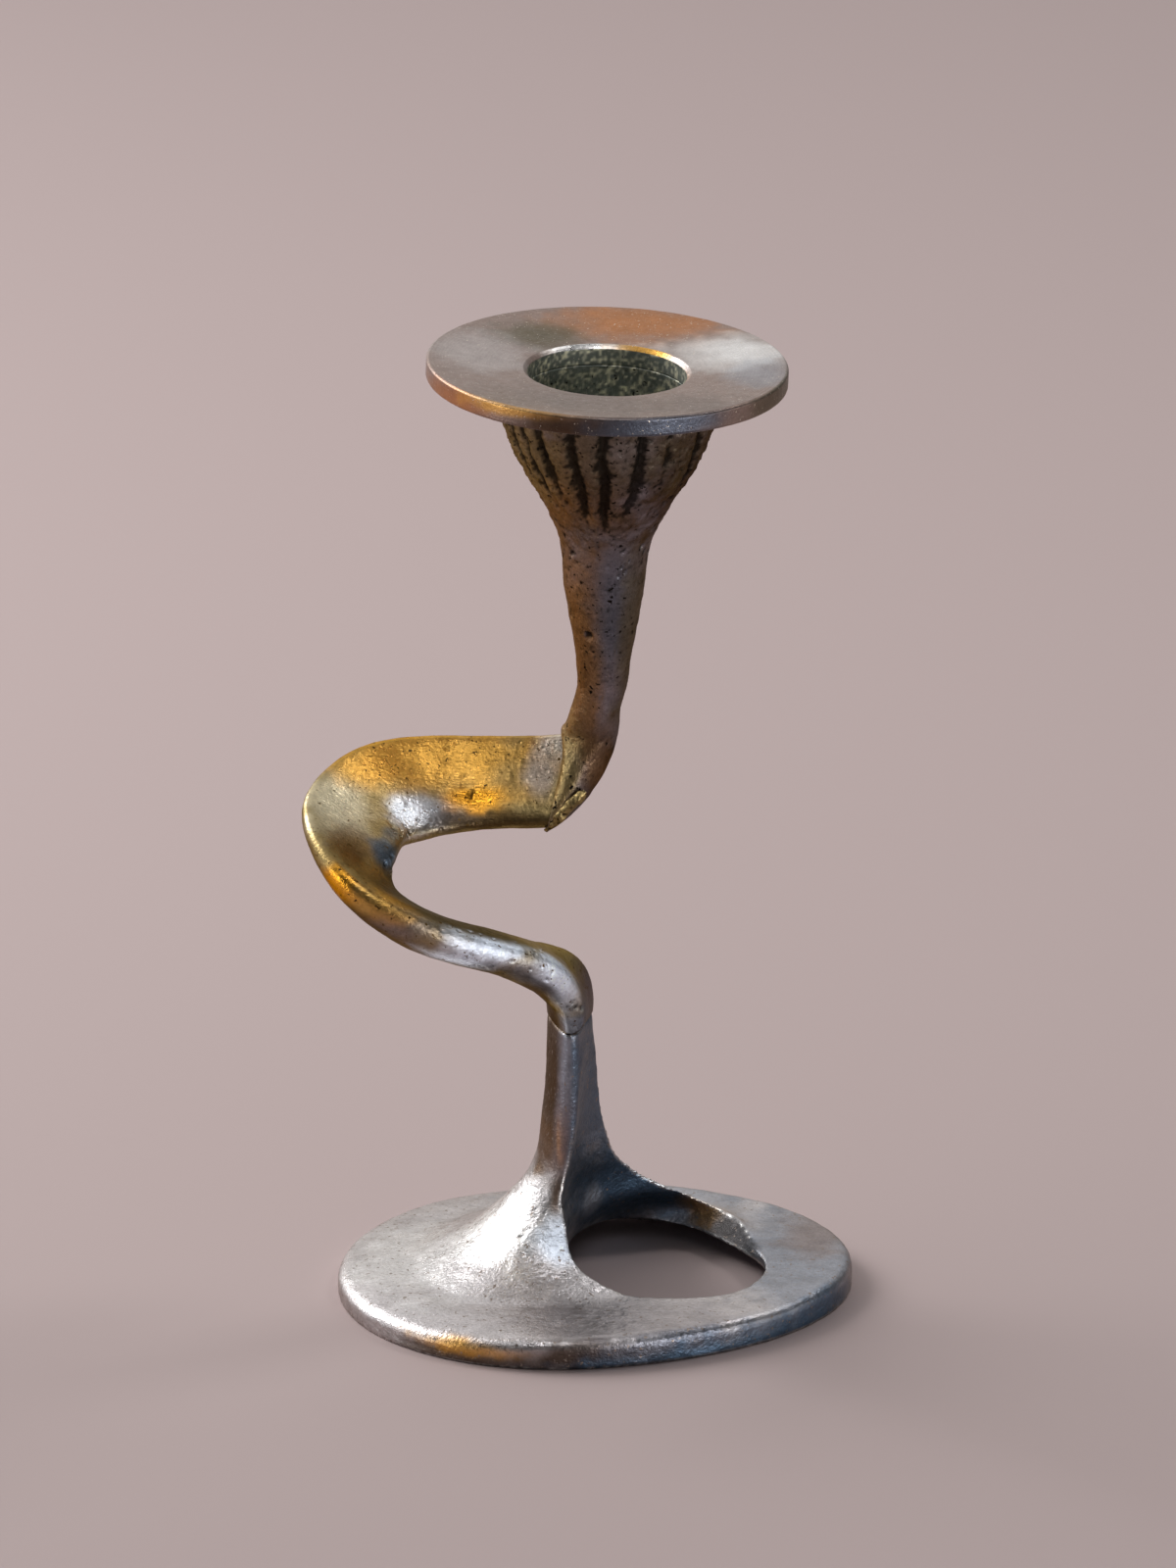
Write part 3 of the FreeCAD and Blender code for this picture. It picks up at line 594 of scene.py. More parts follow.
armLook = {
    "seed": 11, "ground": "olive", "rubbed": (0.30, 0.75), "dirt": (0.19, 0.36),
    "seams": ((arm["post"], 8.5),),
    "dents": ((8.0, 0.10), (2.6, 0.05), (1.1, 0.025)),
    # place and reach, then how many, their radius and depth
    "pits": (
        ((-9, 11, 78), 6, 46, 0.50, 0.14), ((-14, -15, 59), 10, 60, 0.42, 0.22),
        ((-27, 6.5, 73.5), 5.5, 30, 0.45, 0.20), ((-30.8, -5.4, 70.5), 3, 8, 0.9, 0.20),
        ((-18.3, 9.9, 74.3), 1.6, 3, 0.70, 0.30), ((-20, 8, 72), 12, 40, 0.5, 0.18),
        ((-22, 0, 72), 40, 70, 0.3, 0.12), ((-2.7, -6.7, 47.5), 1.5, 4, 0.8, 0.3),
    ),
    # tone, strength, place, reaches, and the direction that a patch on one side faces
    "patches": (
        # the gold, pale olive, olive and pewter along the upper band are patina and painted reflection both
        ("gold", 0.95, (-24, 13, 80), (18, 9, 5)), ("gold", 0.7, (-14, 12, 77), (8, 6, 4)),
        ("paleOlive", 0.8, (-37.5, -1, 77), (6, 8, 5)), ("gold", 0.7, (-33, 9, 79.5), (7, 6, 2.5)),
        ("olive", 0.6, (-12, 12.5, 77), (3.5, 4, 3)), ("pewter", 0.6, (-8, 12, 77.4), (2.6, 4, 3.4)),
        # painted highlights: the silver on the ribbon's end, and on the upper band the bright silver with
        # its lead and blue steel surround
        ("silver", 0.6, (-5, 12.5, 82), (4, 4, 2.4)),
        ("lead", 0.6, (-24.5, 7, 73), (6.5, 4, 2.6)), ("silver", 0.95, (-27.7, 6.3, 73.7), (3.2, 3.2, 2.2)),
        ("steel", 0.6, (-27, 6.4, 73.5), (5.5, 4, 3)),
        # a dark strip along the band, and a small painted amber glint
        ("bark", 0.85, (-15, 7.5, 71.7), (12, 3, 1.7)), ("amberGlint", 0.9, (-18, 10, 74.4), (4.5, 2.5, 1.5)),
        ("umber", 0.75, (-36, -8, 73), (5, 6, 3)), ("night", 0.9, (-30.6, -5, 70.5), (2.6, 3, 2.4)),
        ("night", 0.6, (-30.5, 0, 72.2), (1.8, 2, 1.4)),
        # a painted amber glint on the left bend; the umber below it that faces down is painted shade
        ("amberGlint", 0.95, (-37.4, -15.6, 70.4), (3.4, 4, 3), (-0.6, -0.8, 0.2)),
        ("umber", 0.8, (-33, -15, 64), (9, 6, 3.2), (-0.4, -0.4, -0.8)),
        ("slate", 0.6, (-27, -18, 65), (6, 5, 3), (0.1, -1, 0.1)),
        ("gold", 0.7, (-29, -17, 67.8), (8, 5, 2.4), (-0.1, -0.8, 0.5)),
        # painted shade: the moss darkens the lower arm's upward face, and the umber and dark brown that
        # face down are the shade under the ribbon; the pale blue-white on the lower arm and elbow is
        # painted highlight
        ("moss", 0.95, (-18, -12, 64.2), (20, 9, 7), (0.1, 0.3, 1)),
        ("umber", 0.7, (-22, -17, 60.2), (9, 6, 2.6), (0.1, -0.8, -0.6)),
        ("highlightFrost", 0.95, (-16.5, -16.5, 59.4), (9, 5, 3.4), (0.3, -1, 0)),
        ("highlightFrost", 0.98, (-6, -10, 52.6), (7, 7, 7.6), (0.55, -0.85, 0)),
        ("bark", 0.9, (-9, -10, 50.5), (5, 8, 5), (-0.6, -0.3, -0.7)),
        ("bark", 0.7, (-15, -14, 55.2), (8, 6, 2.4), (0, -0.4, -0.9)),
        # at the joint the dark blue on the post's right side and the dark brown on its left are painted
        # shade
        ("plum", 0.8, (0.5, -3, 52), (3, 6, 5), (1, 0.1, 0.2)),
        ("night", 0.9, (-0.5, -1, 45), (4, 8, 5), (1, -0.2, 0)),
        ("bark", 0.95, (-6.5, 1, 45.5), (3.5, 8, 6), (-1, -0.2, -0.2)),
        ("lead", 0.9, (-3.4, -4.5, 43.5), (2.6, 3, 3), (0.1, -1, 0)),
        ("char", 0.5, (-3.2, -7, 47.6), (1, 2, 0.8), (0.3, -1, 0)),
        ("slate", 0.8, (0, 3, 47), (6, 8, 6), (1, 0.4, 0)),
        ("pewter", 0.7, (-5, 6, 45), (9, 7, 5), (-0.4, 1, 0.1)),
    ),
}
armMesh = meshFromGrid("ribbonArm", armGrid())
finishCasting(armMesh, "spiral_arm", armLook)
# rubbed by hand after casting: a warm, cloudy gloss with marks along the ribbon
addPiece("ribbonArm", armMesh, "spiral_arm", castBronze("rubbedCastBronze", {
    "edgeTint": "#b0a596", "mottle": (2.6, 0.16), "grain": (0.45, 0.13), "specks": ("#5a4526", 0.8, 0.16),
    "drawnOut": (0.12, 1.0, 1.0), "markWidth": 0.35, "markShare": 0.7, "depth": 0.035,
}))


# Socket stem: heel of the knee, stem and trumpet, open at the top for the candle

stem = {
    "width": 7.6, "head": (1.8, 0.0, 142.5), "tilt": 2.0, "trumpet": 27.0, "mouth": 17.6,
    # place from the knee in ribbon widths, tip and bearing of the path, lift of the long side, then
    # shares for width, thickness and squareness
    "heel": (
        (0.000, 0.000, 0.000, 100.5, -7.6, 52, 1.02, 0.90, 0.80),
        (0.100, -0.020, 0.105, 78, -15, 42, 0.86, 0.92, 0.80),
        (0.175, -0.020, 0.220, 58, -18, 38, 0.72, 0.94, 0.80),
        (0.228, -0.010, 0.325, 42, -20, 40, 0.62, 0.96, 0.82),
        (0.275, 0.000, 0.430, 27, -25, 47, 0.55, 0.98, 0.84),
        (0.312, -0.010, 0.540, 16, -45, 56, 0.51, 1.00, 0.88),
        (0.355, -0.085, 0.785, 15, -68, 60, 0.47, 0.96, 0.98),
    ),
    # share of the climb, of the way to the right and to the front, and of the mouth's radius
    "climb": ((0.139, 0.90, 0.190, 0.211), (0.265, 0.93, 0.296, 0.224),
              (0.515, 0.94, 0.472, 0.273), (0.763, 0.94, 0.640, 0.338)),
    # share of the trumpet's length above the ring, then the same
    "flare": (
        (0.981, 0.96, 0.792, 0.376), (0.848, 0.985, 0.856, 0.426), (0.741, 1.00, 0.920, 0.500),
        (0.626, 1.01, 0.960, 0.594), (0.515, 1.01, 0.984, 0.696), (0.400, 1.01, 0.994, 0.793),
        (0.256, 1.01, 1.000, 0.875), (0.130, 1.00, 1.000, 0.943), (0.000, 1.00, 1.000, 1.000),
    ),
    # radius and height of the cup's corners below the head, from the mouth inwards
    "cup": ((14.1, 0.0), (14.1, -1.42), (11.65, -1.42), (11.65, -11.0), (6.8, -18.0), (0.6, -18.0)),
    "alongCount": 225, "aroundCount": 288, "cupCount": 105,
}


def headPoints(radius, angle, height):
    # a turned point: radius and angle about the head's axis, tilted to the right about Y
    tilt = np.radians(stem["tilt"])
    x, y = radius * np.cos(angle), radius * np.sin(angle)
    return np.stack([
        stem["head"][0] + x * np.cos(tilt) + height * np.sin(tilt),
        stem["head"][1] + y,
        stem["head"][2] - x * np.sin(tilt) + height * np.cos(tilt),
    ], axis=-1)


def turned(outline, count):
    # radius and height at even steps along straight runs between corners, the corners among them and
    # steps under 0.01 mm left out, as two columns
    run = np.concatenate([[0], np.cumsum(np.linalg.norm(np.diff(outline, axis=0), axis=1))])
    at = np.unique(np.concatenate([run, np.linspace(0, run[-1], count)]))
    at = at[np.concatenate([[True], np.diff(at) > 0.01])]
    return np.interp(at, run, outline[:, 0])[:, None], np.interp(at, run, outline[:, 1])[:, None]


def stemGrid():
    # rings of the heel from the knee, then round rings by share of the climb and of the way from knee
    # to head, joined by one skin
    heel = np.array(stem["heel"])
    wide = arm["width"]
    way = np.array(stem["head"]) - kneePlace
    along = tipped(heel[:, 3], heel[:, 4])
    rings = barRings(
        kneePlace + heel[:, :3] * wide, along, edgeDirection(along, 90, heel[:, 5]),
        wide * heel[:, 6], stem["width"] * heel[:, 7], power=heel[:, 8],
    )
    climb, flare = np.array(stem["climb"]), np.array(stem["flare"])
    heelClimb = wide * heel[-1, 2]
    toTrumpet = way[2] - stem["trumpet"] - heelClimb
    high = np.concatenate([heelClimb + toTrumpet * climb[:, 0], way[2] - stem["trumpet"] * flare[:, 0]])
    rest = np.concatenate([climb[:, 1:], flare[:, 1:]])
    centres = kneePlace + np.stack([way[0] * rest[:, 0], way[1] * rest[:, 1], high], axis=-1)
    along = tipped(stem["tilt"] * rest[:, 1], np.zeros(len(rest)))
    edge = edgeDirection(along, 90, heel[-1, 5])
    width = 2 * stem["mouth"] * rest[:, 2]
    rings = np.concatenate([rings, barRings(centres, along, edge, width, width)])
    return skinGrid(rings, stem["alongCount"], stem["aroundCount"])


def cupRows(lastRow):
    # the cup's outline, turned through the outer rows' own angles about the head's axis
    radius, height = turned(np.array(stem["cup"]), stem["cupCount"])
    angle = np.arctan2(lastRow[:, 1] - stem["head"][1], lastRow[:, 0] - stem["head"][0])
    return headPoints(radius, angle[None, :], height)


stemLook = {
    "seed": 23, "ground": "slate", "rubbed": (0.45, 1.0), "rubStrength": 0.35,
    "dirt": (0.20, 0.46), "stir": 0.32,
    "dents": ((6.0, 0.12), (2.0, 0.07), (0.9, 0.035)),
    "pits": (
        ((-0.9, 2.4, 102.4), 0.6, 3, 0.9, 0.4), ((-4.2, 4, 104.9), 0.8, 2, 0.7, 0.35),
        ((0.6, 5, 91.5), 1, 2, 0.6, 0.35), ((-4, -3, 114.5), 2, 3, 0.5, 0.3),
        ((4, -4, 115), 2.5, 4, 0.5, 0.28), ((1, 0, 105), 16, 22, 0.35, 0.12),
        ((1.8, 0, 134), 20, 420, 0.6, 0.28), ((0, 9, 79), 6, 12, 0.5, 0.12),
    ),
    "patches": (
        # the sides are painted as the light falls: warm tan and olive on the left and slate blue on the
        # front are painted reflection, and the moss, char and bark on the right and the umber under the
        # trumpet's flare are painted shade
        ("tan", 0.95, (-3, 5, 100), (6, 14, 26), (-1, -0.45, 0)),
        ("slateBlue", 0.75, (3, 2, 108), (3.5, 10, 15), (0.3, -1, 0)),
        ("moss", 0.8, (6, 4, 98), (4, 12, 26), (1, 0, -0.1)),
        ("olive", 0.9, (-5, 8, 78), (5, 6, 8), (-0.8, -0.6, 0)),
        ("char", 0.75, (2, 9, 77.5), (5, 6, 6), (1, -0.5, -0.4)),
        ("umber", 0.85, (0.5, 8, 80), (3, 5, 7), (0.4, -1, 0)),
        ("umber", 0.85, (-2, -8, 130), (9, 14, 12), (0, -1, -0.3)),
        ("tan", 0.8, (-9, -5, 128), (7, 14, 14), (-0.8, -0.5, -0.3)),
        ("olive", 0.7, (-11, -5, 134), (6, 12, 9), (-0.8, -0.5, -0.3)),
        ("bark", 0.8, (14, -4, 131), (9, 14, 13), (0.9, -0.4, -0.3)),
        ("moss", 0.6, (2, -8, 136), (16, 16, 7)),
    ),
    # casting grooves down the trumpet: bearing in degrees, width and depth in mm, lowest height
    "grooves": (
        (-152, 1.2, 0.8, 130), (-140, 1.1, 0.8, 127), (-128, 1.5, 1.0, 128), (-109, 1.7, 1.0, 124),
        (-92, 1.5, 1.0, 122), (-72, 1.7, 1.0, 125), (-54, 1.2, 0.6, 131), (-30, 1.5, 0.7, 127),
        (-8, 1.4, 0.8, 126), (16, 1.6, 0.8, 128), (41, 1.4, 0.8, 125), (63, 1.3, 0.7, 128),
        (88, 1.7, 0.9, 126), (112, 1.5, 0.8, 129), (137, 1.3, 0.8, 125), (162, 1.6, 0.9, 128),
        (186, 1.4, 0.7, 127),
    ),
    # how far the grooves wander, in degrees over mm, by which shares their depth varies over mm, how
    # they fade in, and where all relief ends
    "wander": (3.0, 5.0), "uneven": (0.9, 0.2, 2.5), "fadeIn": (-4, 5), "mouth": (141.6, 142.4),
    # the rough skin as sizes and depths, the heights where it comes in, and its share in the cup
    "rough": ((0.6, 0.18), (1.5, 0.14)), "roughFrom": (113, 124), "cupRough": 0.35,
    # the share of relief in the cup and on the last points before it, and how far off the knee it starts
    "cupRelief": 0.3, "lastPoints": 400, "kneeFade": 1.2, "kneeTop": 88,
}


outerRows = stemGrid()
outerCount = outerRows.shape[0] * outerRows.shape[1]


def inCup(points):
    return np.arange(len(points)) >= outerCount


def trumpetRelief(points):
    # each groove: -depth exp(-(way round / half width)²), fading in upwards from its lowest height, its
    # line stirred by noise; with it a rough skin, and inside the cup that skin alone
    x, y = points[:, 0] - stem["head"][0], points[:, 1] - stem["head"][1]
    radius = np.hypot(x, y)
    turn, size = stemLook["wander"]
    bearing = np.degrees(np.arctan2(y, x)) + turn * noise(points, size, 31)
    height = np.zeros(len(points))
    for middle, width, depth, lowest in stemLook["grooves"]:
        off = (bearing - middle + 180) % 360 - 180
        across = np.radians(off) * radius / (width / 2)
        start, end = stemLook["fadeIn"]
        height -= depth * np.exp(-across * across) * easeIn(points[:, 2], lowest + start, lowest + end)
    level, share, size = stemLook["uneven"]
    height *= level + share * noise(points, size, 32)
    rough = dents(points, stemLook["rough"], 33)
    height += rough * easeIn(points[:, 2], *stemLook["roughFrom"])
    height *= 1 - easeIn(points[:, 2], *stemLook["mouth"])
    return np.where(inCup(points), stemLook["cupRough"] * rough, height)


def stemLooseness(points, normals):
    # little relief inside the cup and none at the knee's joint
    outside = np.arange(len(points)) < outerCount - stemLook["lastPoints"]
    fromJoint = easeIn((points - kneePlace) @ kneeNormal, 0.0, stemLook["kneeFade"])
    fromJoint = np.where(points[:, 2] < stemLook["kneeTop"], fromJoint, 1.0)
    return np.where(outside, 1.0, stemLook["cupRelief"]) * fromJoint


stemMesh = meshFromGrid("stemTrumpet", np.concatenate([outerRows, cupRows(outerRows[-1])]))
finishCasting(stemMesh, "socket_stem", stemLook, trumpetRelief, stemLooseness, inside=inCup)
# left as cast: dark and rough, with marks round the stem
addPiece("stemTrumpet", stemMesh, "socket_stem", castBronze("darkCastBronze", {
    "edgeTint": "#b0a596", "mottle": (2.4, 0.18), "grain": (0.5, 0.18), "specks": ("#1c1814", 0.9, 0.22),
    "drawnOut": (1.0, 1.0, 0.15), "markWidth": 0.4, "markShare": 0.8, "depth": 0.05,
}))


# Drip pan: a turned disc with the candle's bore and a collar that drops into the trumpet

pan = {
    # radius, height and rounding of the outline's corners, from the collar's bore outwards and back
    "outline": (
        (11.65, -1.4, 0.03), (14.0, -1.4, 0.1), (14.0, 0.0, 0.1), (26.5, 0.0, 0.45), (26.5, 3.0, 0.5),
        (12.3, 1.70, 0.3), (11.65, 1.1, 0.3),
    ),
    # how much of it is the dull bore: radius and height
    "bore": (11.8, 1.05),
    "aroundCount": 420, "alongCount": 170, "cornerCount": 7,
}
panLook = {
    "seed": 37, "ground": "plum", "rubbed": (0.9, 1.8), "rubStrength": 0.9, "dirt": (0.16, 0.3),
    "dents": ((5.0, 0.02), (1.2, 0.012)), "settle": 0.02,
    "pits": (((1.8, 0.0, 145.0), 28.0, 6, 0.35, 0.10),),
    "patches": (
        # the turned top's sheen painted by sectors: the orange at the rear, the dark green at the left rear
        # and the silver and lead at the right are painted reflection
        ("orangeSheen", 0.95, (7, 20, 145), (13, 7, 4)), ("moss", 0.9, (-8, 13.5, 145.2), (6.5, 5, 3)),
        ("pewter", 0.4, (-17, 4, 145.6), (8, 9, 3)), ("silver", 0.55, (19, 7, 144.4), (10, 8, 2.5)),
        ("silver", 0.7, (22, 8, 144.4), (5, 6, 2.5)), ("lead", 0.5, (24, -2, 144), (5, 7, 2.5)),
        # the warm colours on the rim's left are painted reflection, the dark brown at the front painted
        # shade, the slate blue at the front right painted reflection, and the taupe darkens the top's front
        # as painted shade
        ("orangeSheen", 0.8, (-21, -13, 144.2), (9, 10, 2.2), (-0.8, -0.6, 0)),
        ("gold", 0.7, (-12, -22, 145.4), (10, 7, 1.2), (-0.4, -0.9, 0.3)),
        ("bark", 0.85, (-2, -25, 143.4), (12, 7, 2.2), (-0.1, -1, -0.1)),
        ("slateBlue", 0.95, (11, -25, 143.8), (12, 7, 2.5), (0.3, -1, 0)),
        ("taupe", 0.9, (2, -18, 145), (22, 8, 2.5), (0, 0, 1)),
        # painted highlights on the bore's rear lip, silver and gold; the moss on the rim's right is painted
        # shade
        ("silver", 0.95, (-4, 12, 144), (10, 3, 1.6), (0.2, -1, 0)),
        ("gold", 0.95, (8, 10, 144), (5, 4, 1.6), (-0.3, -1, 0)),
        ("moss", 0.8, (26, -8, 143.2), (7, 12, 2.5), (1, -0.3, 0)),
    ),
}


def roundedOutline(corners):
    # each corner becomes an arc of its own radius that touches both runs
    corners = np.array(corners)
    before, after = np.roll(corners, 1, axis=0), np.roll(corners, -1, axis=0)
    points = []
    for corner, back, on in zip(corners, before, after):
        a, b = unit(back[:2] - corner[:2]), unit(on[:2] - corner[:2])
        half = np.arccos(np.clip(a @ b, -1, 1)) / 2
        reach = corner[2] / np.tan(half)
        middle = corner[:2] + unit(a + b) * corner[2] / np.sin(half)
        start, end = corner[:2] + a * reach, corner[:2] + b * reach
        t = np.linspace(0, 1, pan["cornerCount"])[:, None]
        points.append(unit((start - middle) * (1 - t) + (end - middle) * t) * corner[2] + middle)
    return np.concatenate(points + [points[0][:1]])


def panGrid():
    # the rounded outline, turned all round the head's axis
    radius, height = turned(roundedOutline(pan["outline"]), pan["alongCount"])
    angle = 2 * np.pi * np.arange(pan["aroundCount"]) / pan["aroundCount"]
    return headPoints(radius, angle[None, :], height)


def inPanBore(points):
    # what lies in the bore below its bright lip, by radius about the head's axis and height along it
    tilt = np.radians(stem["tilt"])
    x, y, z = (points - stem["head"]).T
    radius, height = np.hypot(x * np.cos(tilt) - z * np.sin(tilt), y), x * np.sin(tilt) + z * np.cos(tilt)
    return (radius < pan["bore"][0]) & (height < pan["bore"][1])


panMesh = meshFromRing("dripPan", panGrid())
finishCasting(panMesh, "drip_pan", panLook, inside=inPanBore)
# turned on a lathe and then darkened: a soft gloss drawn out across fine rings
addPiece("dripPan", panMesh, "drip_pan", castBronze("turnedBronze", {
    "edgeTint": "#fffdfa", "mottle": (3.0, 0.09), "grain": (0.4, 0.10), "specks": ("#d8ccbd", 0.35, 0.03),
    "markShare": 1.6, "depth": 0.022,
    # middle, tilt and width of the rings
    "turnedAbout": (tuple(np.array(stem["head"]) * millimetre), np.radians(stem["tilt"]), 0.35),
}))


# Base: plate, foot, wing and post in one casting, hollow underneath

base = {
    "width": 76.8, "thick": 4.7, "edgeRound": 1.7, "wall": 5.0, "recess": 2.8, "eye": 28.6,
    "spread": 30.0,
    # the oval's middle to the right and rear, its first side's bearing, reach right, rear, left and front
    "oval": (-0.072, 0.006, 8.6, 0.575, 0.453, 0.424, 0.427),
    # height as shares of plate and climb, share away from the post's wedge, bearing of the longest
    # reach, then reach to the rear right, rear left, front left and front right
    "foot": (
        (0.86, 0.000, 1.0, 30, 1.04, 0.86, 0.90, 0.62), (1.00, 0.044, 1.0, 32, 0.93, 0.66, 0.66, 0.47),
        (1.00, 0.101, 1.0, 36, 0.82, 0.53, 0.50, 0.37), (1.00, 0.157, 1.0, 42, 0.70, 0.45, 0.41, 0.30),
        (1.00, 0.224, 1.0, 50, 0.60, 0.36, 0.32, 0.24), (1.00, 0.303, 1.0, 57, 0.50, 0.27, 0.24, 0.19),
        (1.00, 0.404, 0.8, 58, 0.46, 0.21, 0.18, 0.17), (1.00, 0.539, 0.5, 58, 0.44, 0.19, 0.17, 0.15),
        (1.00, 0.696, 0.3, 58, 0.38, 0.17, 0.16, 0.14), (1.00, 0.854, 0.1, 58, 0.29, 0.16, 0.15, 0.14),
        (1.00, 1.000, 0.0, 58, 0.27, 0.16, 0.15, 0.14),
    ),
    # height the same way, bearing, middle to the right and rear, reach right, rear, left and front
    "scoop": (
        (-0.27, 0.000, 22, 0.468, -0.048, 0.421, 0.902, 0.548, 0.452),
        (0.680, 0.000, 22, 0.468, -0.048, 0.421, 0.902, 0.548, 0.452),
        (1.000, 0.011, 12, 0.435, 0.030, 0.455, 0.765, 0.600, 0.540),
        (1.000, 0.089, -10, 0.370, 0.090, 0.640, 0.580, 0.520, 0.740),
        (1.000, 0.196, -18, 0.265, 0.090, 0.640, 0.520, 0.420, 0.590),
        (1.000, 0.303, -24, 0.180, 0.070, 0.640, 0.520, 0.310, 0.490),
        (1.000, 0.483, -22, 0.215, 0.035, 0.640, 0.590, 0.300, 0.480),
        (1.000, 0.775, -15, 0.290, -0.020, 0.640, 0.800, 0.343, 0.660),
        (1.000, 1.090, -12, 0.355, -0.020, 0.640, 0.900, 0.343, 0.760),
    ),
    # steps round the edge, then round the plate, and along and round foot and scoop
    "edgeCount": 10, "aroundCount": 240, "footCounts": (220, 160), "scoopCounts": (160, 160),
    "voxel": 0.38, "smoothing": 11,
    # the filled corners: steps that even out the hollowness, its range in 1/mm, how many steps it spreads,
    # the height above which corners fill, the share of each move and how often they move
    "fillet": {"evened": 12, "hollow": (0.01, 0.08), "spread": 6, "above": 3.6, "share": 0.6, "times": 40},
    # how deep the left rim is worn, from what share of the reach, between which places to the left, and
    # how much a place at the rear adds to them
    "worn": 1.4, "wornFrom": 0.70, "wornSide": (-10, 14), "wornLean": 0.25,
}


def climbed(plateShare, climbShare):
    return base["thick"] * plateShare + (arm["joint"] - base["thick"]) * climbShare


def slabGrid(inset, low, high, edgeRound):
    # the base's oval at each height, its top edge drawn in along a quarter circle
    turn = np.linspace(0, np.pi / 2, base["edgeCount"]) if edgeRound else np.array([0.0])
    drawIn = np.concatenate([[0.0], edgeRound * (1 - np.cos(turn))])
    heights = np.concatenate([[low], high - edgeRound + edgeRound * np.sin(turn)])
    right, rear, bearing, *reaches = base["oval"]
    rings = [
        ovalRing(h, base["width"] * right, base["width"] * rear, bearing,
                 [base["width"] * r - inset - d for r in reaches])
        for h, d in zip(heights, drawIn)
    ]
    return closedThrough(np.array(rings), base["aroundCount"])


def footGrid():
    # each ring = the post's own ring (1 - away) + a wide oval times away
    rings = []
    for plateShare, climbShare, away, bearing, *reaches in base["foot"]:
        height = climbed(plateShare, climbShare)
        wide = ovalRing(height, *arm["post"][:2], bearing, [base["spread"] * r for r in reaches])
        rings.append(postRings([height])[0] * (1 - away) + wide * away)
    return skinGrid(np.array(rings), *base["footCounts"])


def scoopGrid():
    # ovals in shares of the eye's width, from below the plate to above the post
    rings = []
    for plateShare, climbShare, bearing, *shares in base["scoop"]:
        right, rear, *reaches = base["eye"] * np.array(shares)
        rings.append(ovalRing(climbed(plateShare, climbShare), right, rear, bearing, reaches))
    return skinGrid(np.array(rings), *base["scoopCounts"])


def solidObject(name, grid):
    return linked(bpy.data.objects.new(name, meshFromGrid(name, grid)))


def baseMeshFrom():
    # plate and foot joined, less scoop and recess, then one even skin of small quads, smoothed
    plate = solidObject("plateSolid", slabGrid(0, 0, base["thick"], base["edgeRound"]))
    tools = [
        ("UNION", solidObject("footSolid", footGrid())),
        ("DIFFERENCE", solidObject("scoopSolid", scoopGrid())),
        ("DIFFERENCE", solidObject("recessSolid", slabGrid(base["wall"], -2, base["recess"], 0))),
    ]
    for operation, tool in tools:
        cut = plate.modifiers.new(operation.lower(), "BOOLEAN")
        cut.operation, cut.object, cut.solver = operation, tool, "EXACT"
    even = plate.modifiers.new("even", "REMESH")
    even.mode, even.voxel_size, even.use_smooth_shade = "VOXEL", base["voxel"] * millimetre, True
    soft = plate.modifiers.new("soft", "SMOOTH")
    soft.factor, soft.iterations = 0.5, base["smoothing"]
    graph = bpy.context.evaluated_depsgraph_get()
    mesh = bpy.data.meshes.new_from_object(plate.evaluated_get(graph))
    for solid in [plate] + [tool for _, tool in tools]:
        bpy.data.objects.remove(solid)
    mesh.name = "footedBase"
    return mesh


